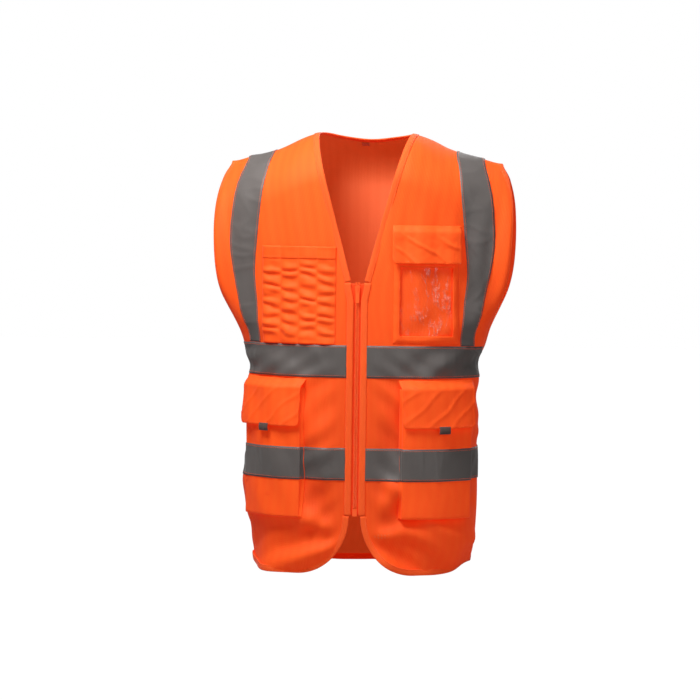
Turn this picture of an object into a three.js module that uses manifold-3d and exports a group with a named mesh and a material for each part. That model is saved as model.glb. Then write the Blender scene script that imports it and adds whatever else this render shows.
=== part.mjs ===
// High visibility vest: an orange knitted waistcoat with grey reflective tape, a front zip,
// a pen pocket, a badge pocket and two flapped lower pockets.
//
// Millimetres. +X is the wearer's left, the front faces -Y, +Z is up. The origin lies midway
// between the two points where the shoulder seams meet the neckline.
//
// Every cloth piece is a flat box of cells, bent onto one worn-body surface. A place on that
// surface is given by side (front or back), x and z, and a piece lies between two heights
// above it, which are called offsets.

import * as THREE from 'three';
import { mergeVertices } from 'three/addons/utils/BufferGeometryUtils.js';
import Module from 'manifold-3d';

const wasm = await Module();
wasm.setup();

const FRONT = -1;
const BACK = 1;
const RIGHT = -1;
const LEFT = 1;

// ---- body of the vest -------------------------------------------------------------------
const frontDepth = 116; // centre front, ahead of the shoulder line
const backDepth = 100; // centre back, behind the shoulder line
const hemZ = -680; // lowest edge, below the neck points
const underarmZ = -335; // foot of the armholes, top of the side seams
const shoulderTipX = 212;
const shoulderRound = 80; // height over which the shoulder turns down into front and back
const squareness = 2.4; // exponent of the plan outline: 2 is an ellipse, more is squarer
const armholeHalfDepth = 58; // front to back half-width of the armhole at its middle
const armholeRoundness = 0.75; // 1 is a pointed opening, less is rounder
const armholeReach = 8; // exponent by which the armhole's flare dies away towards the centre
const bodyFullness = 0.45; // how fully the plan outline turns at the side seam
const chestFullness = 0.75; // and at the armholes

// Half-width of the vest by height, and the shoulder line by distance from the centre.
const halfWidth = curveThrough([
  [hemZ, 169], [-640, 175], [-560, 180], [-400, 180], [-362, 180], [-345, 182], [-315, 191],
  [-270, 210], [-225, 225], [-170, 231], [-110, 230], [-70, 222], [-45, shoulderTipX],
]);
const neckHalfWidth = 73;
const shoulderLine = curveThrough([
  [0, 0], [neckHalfWidth, 0], [90, -5], [125, -21], [150, -30], [180, -37], [shoulderTipX, -45],
]);

// ---- neck, hem and zip line --------------------------------------------------------------
const backNeckDrop = 40; // cloth distance from the shoulder line to the centre back neckline
const vBottomZ = -230;
const vBottomX = 11;
const hemCornerRise = 90; // height of the rounded front corner, from the hem to the zip's foot
const zipFootZ = hemZ + hemCornerRise;
const hemCornerX = 10; // where the rounded front corner starts, beside the foot of the zip
const hemCornerWidth = 82;

// ---- cloth layers ------------------------------------------------------------------------
const clothThickness = 1;
const layerGap = 0.9;
const tapeThickness = 0.6;
const tapeWidth = 50;
const bindingRadius = 2.1;
const bindingGap = 0.4;
const bindingRoom = 1.6; // between a rolled binding and the cut edge of the cloth beside it
const seamGap = 0.6; // half the gap between front and back cloth at shoulder and side seams
const edgeInset = 2 * bindingRadius + bindingRoom;
const tapeOffset = clothThickness + layerGap;

// ---- reflective tape ---------------------------------------------------------------------
const chestBandTopZ = -327;
const waistBandTopZ = -485;
const bandMeetGap = 1.5; // shoulder tape stops this far above the chest band
const bandInnerX = curveThrough([
  [-330, 155], [-270, 160], [-215, 165], [-160, 161], [-110, 156], [-60, 149], [-25, 141],
]);
const bandOuterX = curveThrough([
  [-330, 174], [-265, 189], [-210, 201], [-172, 206], [-110, 202], [-70, 193], [-38, 184],
]);

// ---- zip ---------------------------------------------------------------------------------
const toothReach = 2.8; // from the chain's inner face to its cord
const chainHalfGap = 0.8; // half the slot between the two chains that the slider's post needs
const toothPitch = 9;
const toothDepth = 2.6;
const toothFront = 0.1; // offset of the front of the teeth
const chainTapeGap = 0.3;
const zipTapeOffset = -1.6;
const zipTapeThickness = 0.7;
const facingInnerX = 6.5;
const facingOuterX = 15.2;
const facingOffset = -0.5;
const facingThickness = 2.1;
const zipTopZ = vBottomZ;
const sliderHeight = 13;
const sliderHalfWidth = 4.2;
const sliderPlate = 1.5;
const sliderClearance = 0.5;
const sliderPost = 0.8;
const pullerLength = 22;
const pullerWidth = 6;
const retainerHeight = 11;
const retainerHalfWidth = 3.6;
const stopHeight = 3.6;
const pinInnerX = 0.6;
const pinOuterX = 2.8;
const pinGap = 0.3; // around the pin, inside the retainer box
const chainFootZ = zipFootZ + retainerHeight + 1;

// ---- lower pockets -----------------------------------------------------------------------
const pocketTapeGap = 3; // from the chest band down to the flap's seam
const pocketMouthDrop = 15; // from the flap's seam down to the mouth of the bag
const pocketTopZ = chestBandTopZ - tapeWidth - pocketTapeGap; // where the flap is sewn on
const pocketBagTopZ = pocketTopZ - pocketMouthDrop;
const pocketFootZ = -594;
const pocketRightInnerX = 80;
const pocketRightOuterX = 172;
const pocketLeftInnerX = 67;
const pocketLeftOuterX = 169;
const pocketSideDepth = 11; // how far the gussets hold the pocket's face off the front
const pocketRoom = 9; // least hollow between the front and the pocket's face
const pocketWall = 1.2;
const pocketFlapDrop = 73;
const flapOverhang = 3;
const flapTopRelief = 7; // how far the ends of the flap's sewn edge fall behind its middle
const tabWidth = 17;
const tabHeight = 11;
const tabLap = 3; // how far the tab overlaps the flap
const tabThickness = 1.2;
const tabRightX = 126; // where the tab stands along its pocket, as x on the vest's front
const tabLeftX = 120;

// ---- hook and loop -----------------------------------------------------------------------
const hookThickness = 0.7;
const hookGap = 0.35;
const hookHeight = 20;
const hookInset = 14;
const hookRise = 6; // from a flap's lower edge up to its fastener
const flapClearance = 2 * hookThickness + 3 * hookGap;

// ---- badge pocket (wearer's left chest) --------------------------------------------------
const badgeInnerX = 55;
const badgeOuterX = 152;
const badgeTopZ = -142;
const badgeFrameTopZ = -152;
const badgeFootZ = chestBandTopZ + 2.5;
const badgeBorder = 10;
const badgeWindowTopZ = -206;
const badgeRoom = 2.2; // space behind the window for a card
const windowThickness = 0.4;
const windowLap = 5; // how far the window runs under the frame
const badgeFlapDrop = 58;
const badgeFlapLap = 2;

// ---- pen pocket (wearer's right chest) ---------------------------------------------------
const penInnerX = 34;
const penOuterX = 150;
const penTopZ = -177;
const penFootZ = chestBandTopZ + 2.5;
const penChannels = 4;
const penRoom = 1.6;
const penSeam = 3;
const penHemHeight = 19;
const penHemThickness = 0.7;

// ---- neck label --------------------------------------------------------------------------
const labelWidth = 12;
const labelHeight = 8;
const labelX = -8;
const labelDrop = 47; // cloth distance below the shoulder line

const COLOURS = {
  cloth: { color: 0xe8571f, roughness: 0.9, metalness: 0 },
  binding: { color: 0xf4622a, roughness: 0.85, metalness: 0 },
  tape: { color: 0x67605c, roughness: 0.55, metalness: 0.1 },
  zip: { color: 0xf05c24, roughness: 0.5, metalness: 0 },
  hook: { color: 0xd94f1c, roughness: 0.95, metalness: 0 },
  window: { color: 0xf2c3b4, roughness: 0.15, metalness: 0 },
  tab: { color: 0x6b5b56, roughness: 0.7, metalness: 0 },
  label: { color: 0xe8b8a8, roughness: 0.8, metalness: 0 },
};

// ---- helpers -----------------------------------------------------------------------------

// A smooth function of one value through the given [position, value] points.
function curveThrough(points) {
  const sorted = [...points].sort((a, b) => a[0] - b[0]);
  const curve = new THREE.CubicInterpolant(
    new Float32Array(sorted.map((p) => p[0])),
    new Float32Array(sorted.map((p) => p[1])),
    1,
  );
  return (position) => curve.evaluate(position)[0];
}

function mix(a, b, t) {
  return a + (b - a) * t;
}

// Merges shared corners and turns the faces outwards where a mirrored bend turned them in.
function closed(geometry) {
  geometry.deleteAttribute('normal');
  geometry.deleteAttribute('uv');
  const merged = mergeVertices(geometry);
  if (signedVolume(merged) < 0) {
    const index = merged.index.array;
    for (let i = 0; i < index.length; i += 3) {
      [index[i + 1], index[i + 2]] = [index[i + 2], index[i + 1]];
    }
  }
  return merged;
}

function signedVolume(geometry) {
  const corner = [new THREE.Vector3(), new THREE.Vector3(), new THREE.Vector3()];
  const { index, attributes } = geometry;
  let sum = 0;
  for (let i = 0; i < index.count; i += 3) {
    corner.forEach((v, k) => v.fromBufferAttribute(attributes.position, index.getX(i + k)));
    sum += corner[0].dot(corner[1].clone().cross(corner[2]));
  }
  return sum / 6;
}

function solid(geometry) {
  return new wasm.Manifold(new wasm.Mesh({
    numProp: 3,
    vertProperties: new Float32Array(geometry.attributes.position.array),
    triVerts: new Uint32Array(geometry.index.array),
  }));
}

function geometryOf(manifold) {
  const mesh = manifold.getMesh();
  const geometry = new THREE.BufferGeometry();
  geometry.setAttribute('position', new THREE.BufferAttribute(mesh.vertProperties, 3));
  geometry.setIndex(new THREE.BufferAttribute(mesh.triVerts, 1));
  return geometry;
}

function union(geometries) {
  return geometryOf(geometries.map(solid).reduce((a, b) => a.add(b)));
}

function cut(geometry, tool) {
  return geometryOf(solid(geometry).subtract(solid(tool)));
}

// An axis-aligned block between two corners.
function block(low, high) {
  const geometry = new THREE.BoxGeometry(high[0] - low[0], high[1] - low[1], high[2] - low[2]);
  geometry.translate((low[0] + high[0]) / 2, (low[1] + high[1]) / 2, (low[2] + high[2]) / 2);
  return closed(geometry);
}

// A box of cells bent by place(across, through, down), where each argument runs from 0 to 1.
function bentBox(cellsAcross, cellsDown, place) {
  const geometry = new THREE.BoxGeometry(1, 1, 1, cellsAcross, 1, cellsDown);
  const position = geometry.attributes.position;
  for (let i = 0; i < position.count; i += 1) {
    const at = place(position.getX(i) + 0.5, position.getY(i) + 0.5, 0.5 - position.getZ(i));
    position.setXYZ(i, at.x, at.y, at.z);
  }
  return closed(geometry);
}

// ---- the worn surface --------------------------------------------------------------------

// Height of a point that lies the given cloth distance below the shoulder line.
function dropOf(clothDistance) {
  const turn = shoulderRound * Math.PI / 2;
  if (clothDistance > turn) return shoulderRound + clothDistance - turn;
  return shoulderRound * (1 - Math.cos(clothDistance / shoulderRound));
}

function clothDistanceOf(drop) {
  const turn = shoulderRound * Math.PI / 2;
  if (drop > shoulderRound) return turn + drop - shoulderRound;
  return shoulderRound * Math.acos(1 - Math.max(0, drop) / shoulderRound);
}

// Armhole half-opening at a height: rounded, and closed at the shoulder tip and the underarm.
function armholeDepth(z) {
  const tipZ = shoulderLine(shoulderTipX);
  const share = THREE.MathUtils.clamp((z - underarmZ) / (tipZ - underarmZ), 0, 1);
  return armholeHalfDepth * Math.sin(Math.PI * share) ** armholeRoundness;
}

// Point on the worn surface: share is x as a share of the half-width there.
function bodyPoint(side, share, clothDistance) {
  const drop = dropOf(clothDistance);
  let z = -drop;
  let x = 0;
  for (let pass = 0; pass < 6; pass += 1) {
    x = share * halfWidth(z);
    z = shoulderLine(Math.abs(x)) - drop;
  }
  const depth = side === FRONT ? frontDepth : backDepth;
  const edge = armholeDepth(z);
  const height = THREE.MathUtils.smoothstep(z, underarmZ - 20, underarmZ + 120);
  const fullness = mix(bodyFullness, chestFullness, height);
  const bulge = Math.max(0, 1 - Math.abs(share) ** squareness) ** fullness;
  const flare = edge * Math.abs(share) ** armholeReach;
  const turned = Math.sin(Math.min(clothDistance / shoulderRound, Math.PI / 2));
  return new THREE.Vector3(x, side * turned * (depth * bulge + flare), z);
}

// Outward direction at a place on the worn surface.
function bodyNormal(side, share, clothDistance) {
  const step = 0.01;
  const nearEdge = 0.985;
  const middle = THREE.MathUtils.clamp(share, -nearEdge, nearEdge);
  const down = Math.max(clothDistance, 2 * step);
  const across = bodyPoint(side, middle + step, down).sub(bodyPoint(side, middle - step, down));
  const along = bodyPoint(side, middle, down + step).sub(bodyPoint(side, middle, down - step));
  const normal = across.cross(along).normalize();
  const outward = new THREE.Vector3(0, side, 0.2);
  return normal.dot(outward) < 0 ? normal.negate() : normal;
}

function onBody(side, x, z, offset) {
  const share = THREE.MathUtils.clamp(x / halfWidth(z), -1, 1);
  return onCloth(side, share, clothDistanceOf(shoulderLine(Math.abs(x)) - z), offset);
}

function onCloth(side, share, clothDistance, offset) {
  const point = bodyPoint(side, share, clothDistance);
  return point.addScaledVector(bodyNormal(side, share, clothDistance), offset);
}

// Largest share whose point keeps the given distance from the vest's outer edge.
function shareInside(side, clothDistance, distance) {
  const edge = bodyPoint(side, 1, clothDistance);
  let near = 1;
  let far = 0.5;
  for (let pass = 0; pass < 30; pass += 1) {
    const middle = (near + far) / 2;
    if (bodyPoint(side, middle, clothDistance).distanceTo(edge) < distance) near = middle;
    else far = middle;
  }
  return far;
}

// A patch of cloth with straight sides in x and z.
function patch(side, x0, x1, top, foot, offset, thickness, cells = [6, 3]) {
  return bentBox(cells[0], cells[1], (across, through, down) => (
    onBody(side, mix(x0, x1, across), mix(top, foot, down), offset + through * thickness)));
}

// ---- outlines ----------------------------------------------------------------------------

function neckEdgeX(z) {
  return mix(neckHalfWidth, vBottomX, Math.min(1, z / vBottomZ));
}

// Height of the front hem: level, with a rounded corner towards the zip.
function frontHemZ(x) {
  const share = THREE.MathUtils.clamp((x - hemCornerX) / hemCornerWidth, 0, 1);
  return mix(zipFootZ, hemZ, Math.sqrt(1 - (1 - share) ** 2));
}

function frontHemSlope(x) {
  const step = 0.5;
  return (frontHemZ(x + step) - frontHemZ(x - step)) / (2 * step);
}

// Cloth distance from the shoulder line to the back neckline, kept inset from its edge.
function backNeckDistance(x, inset) {
  const share = Math.min(1, Math.abs(x) / (neckHalfWidth + inset));
  return (backNeckDrop + inset) * Math.sqrt(1 - share * share);
}

// ---- front and back panels ---------------------------------------------------------------

// Rows of a panel: cloth distances round the shoulder first, then heights down to the hem.
const cornerRowZ = hemZ + 120;
const shoulderRows = [0, 20, 40, 60, 80, 100, 125];
const bodyRows = [
  -150, -182, -214, -244, -270, -290, -304, -316, -328, -340, -352, -368, -390, -440, -500,
  cornerRowZ, hemZ + 80, hemZ + 40, hemZ,
];

function panelRow(x, row, firstDistance, hem) {
  if (row < shoulderRows.length) {
    return Math.max(firstDistance + 0.02 * row, shoulderRows[row]);
  }
  const z = bodyRows[row - shoulderRows.length];
  const fitted = z > cornerRowZ ? z : mix(cornerRowZ, hem, (z - cornerRowZ) / (hemZ - cornerRowZ));
  return clothDistanceOf(shoulderLine(x) - fitted);
}

// Outermost share of the cloth: inset for the armhole binding, then up to the side seam.
function outerShare(side, clothDistance) {
  const z = bodyPoint(side, 1, clothDistance).z;
  const inArmhole = z > underarmZ - 2 * edgeInset;
  return shareInside(side, clothDistance, inArmhole ? edgeInset : seamGap);
}

const frontColumns = 12;

function frontPanel(hand) {
  const rows = shoulderRows.length + bodyRows.length - 1;
  return bentBox(frontColumns, rows, (across, through, down) => {
    const row = Math.round(down * rows);
    let x = 100;
    let distance = 0;
    for (let pass = 0; pass < 6; pass += 1) {
      const hem = frontHemZ(x) + edgeInset * Math.hypot(1, frontHemSlope(x));
      distance = panelRow(x, row, seamGap, hem);
      const z = shoulderLine(x) - dropOf(distance);
      const width = halfWidth(z);
      const inner = Math.max(facingOuterX + bindingGap, neckEdgeX(z) + edgeInset);
      const start = Math.asin(inner / width);
      const end = Math.asin(outerShare(FRONT, distance));
      x = width * Math.sin(mix(start, end, across));
    }
    const z = shoulderLine(x) - dropOf(distance);
    return onCloth(FRONT, hand * x / halfWidth(z), distance, through * clothThickness);
  });
}

function backPanel() {
  const rows = shoulderRows.length + bodyRows.length - 1;
  const columns = 22;
  const neckColumns = 4;
  const neckX = neckHalfWidth + edgeInset;
  return bentBox(columns, rows, (across, through, down) => {
    const row = Math.round(down * rows);
    const column = Math.abs(Math.round(across * columns) - columns / 2);
    const hand = across < 0.5 ? RIGHT : LEFT;
    let x = 100;
    let distance = 0;
    for (let pass = 0; pass < 6; pass += 1) {
      const first = Math.max(seamGap, backNeckDistance(x, edgeInset));
      distance = panelRow(x, row, first, hemZ + edgeInset);
      const z = shoulderLine(x) - dropOf(distance);
      const width = halfWidth(z);
      if (column <= neckColumns) {
        x = neckX * Math.sin(column / neckColumns * Math.PI / 2);
      } else {
        const share = (column - neckColumns) / (columns / 2 - neckColumns);
        const start = Math.asin(neckX / width);
        x = width * Math.sin(mix(start, Math.asin(outerShare(BACK, distance)), share));
      }
    }
    const z = shoulderLine(x) - dropOf(distance);
    return onCloth(BACK, hand * x / halfWidth(z), distance, through * clothThickness);
  });
}

// ---- bindings ----------------------------------------------------------------------------

// A rolled edge binding: a six-sided tube along the given points.
function bindingTube(points, steps) {
  const outline = new THREE.Shape();
  for (let k = 0; k < 6; k += 1) {
    const angle = k * Math.PI / 3;
    const corner = [bindingRadius * Math.cos(angle), bindingRadius * Math.sin(angle)];
    if (k === 0) outline.moveTo(...corner);
    else outline.lineTo(...corner);
  }
  const extrudePath = new THREE.CatmullRomCurve3(points);
  const tube = new THREE.ExtrudeGeometry(outline, { steps, bevelEnabled: false, extrudePath });
  return closed(tube);
}

function neckBinding() {
  const level = clothThickness / 2;
  const front = [];
  for (const z of [vBottomZ + 3, -190, -150, -110, -75, -48, -28, -14, -6, -1.5]) {
    front.push([neckEdgeX(z) + bindingRadius, z]);
  }
  const back = [];
  const backSteps = 14;
  for (let k = 0; k <= backSteps; k += 1) {
    const x = -(neckHalfWidth + bindingRadius) * Math.cos(k / backSteps * Math.PI);
    const distance = backNeckDistance(x, bindingRadius);
    const z = shoulderLine(Math.abs(x)) - dropOf(distance);
    back.push(onCloth(BACK, x / halfWidth(z), distance, level));
  }
  return bindingTube([
    ...front.map(([x, z]) => onBody(FRONT, -x, z, level)),
    ...back,
    ...front.reverse().map(([x, z]) => onBody(FRONT, x, z, level)),
  ], 60);
}

// The armhole binding is one loop with its ends a little apart at the underarm.
function armholeBinding(hand) {
  const level = clothThickness / 2;
  const tip = shoulderLine(shoulderTipX);
  const reach = (tip - underarmZ) / 2;
  const middle = (tip + underarmZ) / 2;
  const points = [];
  const count = 26;
  const endTurn = 0.05;
  for (let k = 0; k <= count; k += 1) {
    const turn = mix(endTurn, 2 * Math.PI - endTurn, k / count);
    const side = turn < Math.PI ? FRONT : BACK;
    const z = middle - reach * Math.cos(turn);
    const drop = Math.max(0, shoulderLine(halfWidth(z)) - z);
    const distance = clothDistanceOf(drop);
    const share = shareInside(side, distance, bindingRadius);
    points.push(onCloth(side, hand * share, distance, level));
  }
  return bindingTube(points, 48);
}

function hemBinding() {
  const level = clothThickness / 2;
  const front = [];
  for (const turn of [0.02, 0.3, 0.6, 0.9, 1.2, 1.57]) {
    const x = hemCornerX + hemCornerWidth * (1 - Math.cos(turn));
    front.push([x, frontHemZ(x)]);
  }
  const rise = bindingRadius;
  for (const share of [0.7, 0.86, 0.96, 0.995]) front.push([share * halfWidth(hemZ), hemZ]);
  const backShares = [0.98, 0.9, 0.75, 0.5, 0.25, 0, -0.25, -0.5, -0.75, -0.9, -0.98];
  return bindingTube([
    ...front.map(([x, z]) => onBody(FRONT, x, z + rise, level)),
    ...backShares.map((share) => onBody(BACK, share * halfWidth(hemZ), hemZ + rise, level)),
    ...front.reverse().map(([x, z]) => onBody(FRONT, -x, z + rise, level)),
  ], 60);
}

// ---- reflective tape ---------------------------------------------------------------------

// Shoulder tape: from the chest band up the front, over the shoulder and down the back.
function shoulderBand(hand) {
  const footZ = chestBandTopZ + bandMeetGap;
  const turn = shoulderRound * Math.PI / 2;
  const rows = 40;
  const turnShare = 0.4; // share of the rows that lies in the shoulder's turn
  return bentBox(3, rows, (across, through, down) => {
    const signed = 2 * down - 1;
    const side = signed < 0 ? FRONT : BACK;
    const along = Math.abs(signed);
    let x = 160;
    let distance = 0;
    for (let pass = 0; pass < 6; pass += 1) {
      const end = clothDistanceOf(shoulderLine(x) - footZ);
      distance = along < turnShare
        ? turn * along / turnShare
        : mix(turn, end, (along - turnShare) / (1 - turnShare));
      const z = shoulderLine(x) - dropOf(distance);
      x = mix(bandInnerX(z), bandOuterX(z), across);
    }
    const z = shoulderLine(x) - dropOf(distance);
    const offset = tapeOffset + through * tapeThickness;
    return onCloth(side, hand * x / halfWidth(z), distance, offset);
  });
}

// A level band round part of the body, from an inner x to the side seam or to another x.
function levelBand(side, hand, top, innerX, outerX) {
  return bentBox(11, 4, (across, through, down) => {
    const z = top - down * tapeWidth;
    const width = halfWidth(z);
    const start = Math.asin(innerX / width);
    const end = outerX ? Math.asin(outerX / width) : Math.asin(bandEndShare(side, z));
    const x = hand * width * Math.sin(mix(start, end, across));
    return onBody(side, x, z, tapeOffset + through * tapeThickness);
  });
}

function bandEndShare(side, z) {
  return outerShare(side, clothDistanceOf(shoulderLine(halfWidth(z)) - z));
}

function backBand(top) {
  return bentBox(20, 4, (across, through, down) => {
    const z = top - down * tapeWidth;
    const end = Math.asin(bandEndShare(BACK, z));
    const x = halfWidth(z) * Math.sin(mix(-end, end, across));
    return onBody(BACK, x, z, tapeOffset + through * tapeThickness);
  });
}

// ---- zip: every piece lies about the flat centre-front plane ---------------------------------

function zipY(offset) {
  return -frontDepth - offset;
}

function zipBlock(x0, x1, offset0, offset1, top, foot) {
  return block([Math.min(x0, x1), zipY(offset1), foot], [Math.max(x0, x1), zipY(offset0), top]);
}

function facing(hand) {
  const offset = facingOffset + facingThickness;
  return zipBlock(hand * facingInnerX, hand * facingOuterX, facingOffset, offset,
    zipTopZ - 6, zipFootZ + 1);
}

function zipTape(hand) {
  const inner = chainHalfGap + toothReach + chainTapeGap;
  return zipBlock(hand * inner, hand * (facingOuterX - 0.3), zipTapeOffset,
    zipTapeOffset + zipTapeThickness, zipTopZ - 8, zipFootZ + 1);
}

// One side of the chain: a comb with its teeth towards the centre.
function zipTeeth(hand) {
  const back = chainHalfGap + toothReach;
  const root = chainHalfGap + toothReach / 2;
  const top = zipTopZ - stopHeight - 1;
  const count = Math.floor((top - chainFootZ) / toothPitch);
  const outline = new THREE.Shape();
  outline.moveTo(hand * back, chainFootZ);
  for (let k = 0; k < count; k += 1) {
    const z = chainFootZ + k * toothPitch + (hand === LEFT ? 0 : toothPitch / 2);
    if (k === 0) outline.lineTo(hand * root, chainFootZ);
    outline.lineTo(hand * root, z + toothPitch * 0.25);
    outline.lineTo(hand * chainHalfGap, z + toothPitch * 0.3);
    outline.lineTo(hand * chainHalfGap, z + toothPitch * 0.7);
    outline.lineTo(hand * root, z + toothPitch * 0.75);
  }
  outline.lineTo(hand * root, top);
  outline.lineTo(hand * back, top);
  const comb = new THREE.ExtrudeGeometry(outline, { depth: toothDepth, bevelEnabled: false });
  comb.rotateX(Math.PI / 2);
  comb.translate(0, zipY(toothFront) + toothDepth, 0);
  return closed(comb);
}

function topStop(hand) {
  const inner = hand * (chainHalfGap + 0.1);
  return zipBlock(inner, hand * (chainHalfGap + toothReach), toothFront - toothDepth, toothFront,
    zipTopZ, zipTopZ - stopHeight);
}

function sliderTopZ() {
  return zipTopZ - stopHeight - 1.4;
}

function crownCentre() {
  const z = sliderTopZ() - 0.35 * sliderHeight;
  return new THREE.Vector3(0, zipY(toothFront + sliderClearance + sliderPlate + 1.7), z);
}

// The slider: two plates joined by a post, with an eye on its front for the puller.
function slider() {
  const top = sliderTopZ();
  const foot = top - sliderHeight;
  const front = toothFront + sliderClearance;
  const back = toothFront - toothDepth - sliderClearance;
  const outline = new THREE.Shape();
  outline.moveTo(-sliderHalfWidth, top - 2);
  outline.lineTo(-sliderHalfWidth + 1.2, top);
  outline.lineTo(sliderHalfWidth - 1.2, top);
  outline.lineTo(sliderHalfWidth, top - 2);
  outline.lineTo(sliderHalfWidth * 0.75, foot);
  outline.lineTo(-sliderHalfWidth * 0.75, foot);
  const plate = (offset) => {
    const shape = new THREE.ExtrudeGeometry(outline, { depth: sliderPlate, bevelEnabled: false });
    shape.rotateX(Math.PI / 2);
    shape.translate(0, zipY(offset), 0);
    return closed(shape);
  };
  const post = zipBlock(-sliderPost / 2, sliderPost / 2, back - 0.2, front + 0.2, top - 0.5, top - 5);
  const eye = crownCentre();
  const body = zipBlock(-1, 1, front + sliderPlate - 0.2, front + sliderPlate + 3.2, eye.z + 2.4,
    eye.z - 2.4);
  const hole = block([-2, eye.y - 1, eye.z - 1.1], [2, eye.y + 1, eye.z + 1.1]);
  return union([plate(front), plate(back - sliderPlate), post, cut(body, hole)]);
}

// The puller: a bar through the slider's eye, two arms and a grip plate.
function puller() {
  const eye = crownCentre();
  const bar = new THREE.CylinderGeometry(0.6, 0.6, 5.2, 8);
  bar.rotateZ(Math.PI / 2);
  bar.translate(eye.x, eye.y, eye.z);
  const arm = (hand) => block(
    [Math.min(hand * 1.6, hand * 2.6), eye.y - 0.6, eye.z - 5],
    [Math.max(hand * 1.6, hand * 2.6), eye.y + 0.6, eye.z + 0.6],
  );
  const grip = new THREE.Shape();
  const half = pullerWidth / 2;
  grip.moveTo(-2.6, eye.z - 3.2);
  grip.lineTo(2.6, eye.z - 3.2);
  grip.lineTo(half, eye.z - 6);
  grip.lineTo(half, eye.z - pullerLength + half);
  grip.absarc(0, eye.z - pullerLength + half, half, 0, -Math.PI, true);
  const plate = new THREE.ExtrudeGeometry(grip, { depth: 1.2, bevelEnabled: false, curveSegments: 8 });
  plate.rotateX(Math.PI / 2);
  plate.translate(0, eye.y + 0.6, 0);
  return union([closed(bar), arm(-1), arm(1), closed(plate)]);
}

// Foot of the zip: a box on the right chain with a pocket for the left chain's pin.

function retainerBox() {
  const shell = zipBlock(-retainerHalfWidth, retainerHalfWidth, toothFront - toothDepth - 0.6,
    toothFront + 0.6, zipFootZ + retainerHeight, zipFootZ);
  const socket = zipBlock(pinInnerX - pinGap, pinOuterX + pinGap, toothFront - toothDepth + 0.1,
    toothFront - 0.1, zipFootZ + retainerHeight + 1, zipFootZ + 2);
  return cut(shell, socket);
}

function insertionPin() {
  return zipBlock(pinInnerX, pinOuterX, toothFront - toothDepth + 0.1 + pinGap,
    toothFront - 0.1 - pinGap, chainFootZ - 0.4, zipFootZ + 2 + pinGap);
}

// ---- lower pockets -----------------------------------------------------------------------

// Where a lower pocket lies: a straight line in plan from its inner to its outer edge.
function pocketPlace(hand) {
  const innerX = hand * (hand === LEFT ? pocketLeftInnerX : pocketRightInnerX);
  const outerX = hand * (hand === LEFT ? pocketLeftOuterX : pocketRightOuterX);
  const middleZ = (pocketTopZ + pocketFootZ) / 2;
  const start = onBody(FRONT, innerX, middleZ, 0);
  const end = onBody(FRONT, outerX, middleZ, 0);
  const along = end.clone().sub(start);
  const width = along.length();
  along.divideScalar(width);
  const out = new THREE.Vector3(along.y, -along.x, 0).multiplyScalar(hand);
  const middle = onBody(FRONT, (innerX + outerX) / 2, middleZ, 0);
  const bulge = middle.sub(start).dot(out);
  return { hand, innerX, outerX, start, along, out, width, bulge };
}

// How far the pocket's face stands off its straight line, by share of its width.
function faceDepth(pocket, share) {
  const middle = pocket.bulge + clothThickness + pocketRoom + pocketWall;
  const arc = 1 - (2 * share - 1) ** 2;
  return mix(pocketSideDepth, middle, arc);
}

function facePoint(pocket, share, depth, z) {
  const point = pocket.start.clone().addScaledVector(pocket.along, share * pocket.width);
  point.addScaledVector(pocket.out, depth);
  point.z = z;
  return point;
}

// A block of pocket between the vest's front (through 0) and the pocket's face (through 1).
function pocketBlock(pocket, shares, throughs, top, foot) {
  return bentBox(10, 5, (across, through, down) => {
    const share = mix(shares[0], shares[1], across);
    const z = mix(top, foot, down);
    const back = onBody(FRONT, mix(pocket.innerX, pocket.outerX, share), z,
      clothThickness + layerGap);
    const face = facePoint(pocket, share, faceDepth(pocket, share), z);
    return back.lerp(face, mix(throughs[0], throughs[1], through));
  });
}

// The pocket bag: face, two gussets and a foot, open at its top and sewn to the front.
function pocketBag(pocket) {
  const wall = pocketWall / pocket.width;
  const skin = pocketWall / pocketSideDepth;
  const outside = pocketBlock(pocket, [0, 1], [0, 1], pocketBagTopZ, pocketFootZ);
  const hollow = pocketBlock(pocket, [wall, 1 - wall], [-0.3, 1 - skin], pocketBagTopZ + 10,
    pocketFootZ + pocketWall);
  return cut(outside, hollow);
}

// A flat piece that lies on the pocket's face, at a height above it.
function onFace(pocket, shares, top, foot, offset, thickness) {
  return bentBox(10, 2, (across, through, down) => {
    const share = mix(shares[0], shares[1], across);
    const depth = faceDepth(pocket, share) + offset + through * thickness;
    return facePoint(pocket, share, depth, mix(top, foot, down));
  });
}

// The line that a flap turns about: along the pocket, through the middle of its sewn edge.
function flapAxisDepth(pocket) {
  return pocket.bulge + clothThickness + layerGap + 0.5;
}

function pocketFlap(pocket) {
  const over = flapOverhang / pocket.width;
  const shoulderShare = 0.2; // share of the flap's height in which it steps over the bag
  return bentBox(10, 7, (across, through, down) => {
    const share = mix(-over, 1 + over, across);
    const arc = (2 * share - 1) ** 2;
    const top = flapAxisDepth(pocket) - flapTopRelief * arc - 0.5;
    const low = faceDepth(pocket, share) + flapClearance;
    const fall = THREE.MathUtils.smoothstep(down, 0, shoulderShare);
    const depth = mix(top, low, fall) + through * clothThickness;
    return facePoint(pocket, share, depth, pocketTopZ - down * pocketFlapDrop);
  });
}

function pullTab(pocket) {
  const centreX = pocket.hand === LEFT ? tabLeftX : tabRightX;
  const share = (centreX - Math.abs(pocket.innerX))
    / (Math.abs(pocket.outerX) - Math.abs(pocket.innerX));
  const half = tabWidth / 2 / pocket.width;
  const top = pocketTopZ - pocketFlapDrop + tabLap;
  const offset = flapClearance + clothThickness + bindingGap;
  return onFace(pocket, [share - half, share + half], top, top - tabHeight, offset,
    tabThickness);
}

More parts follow.
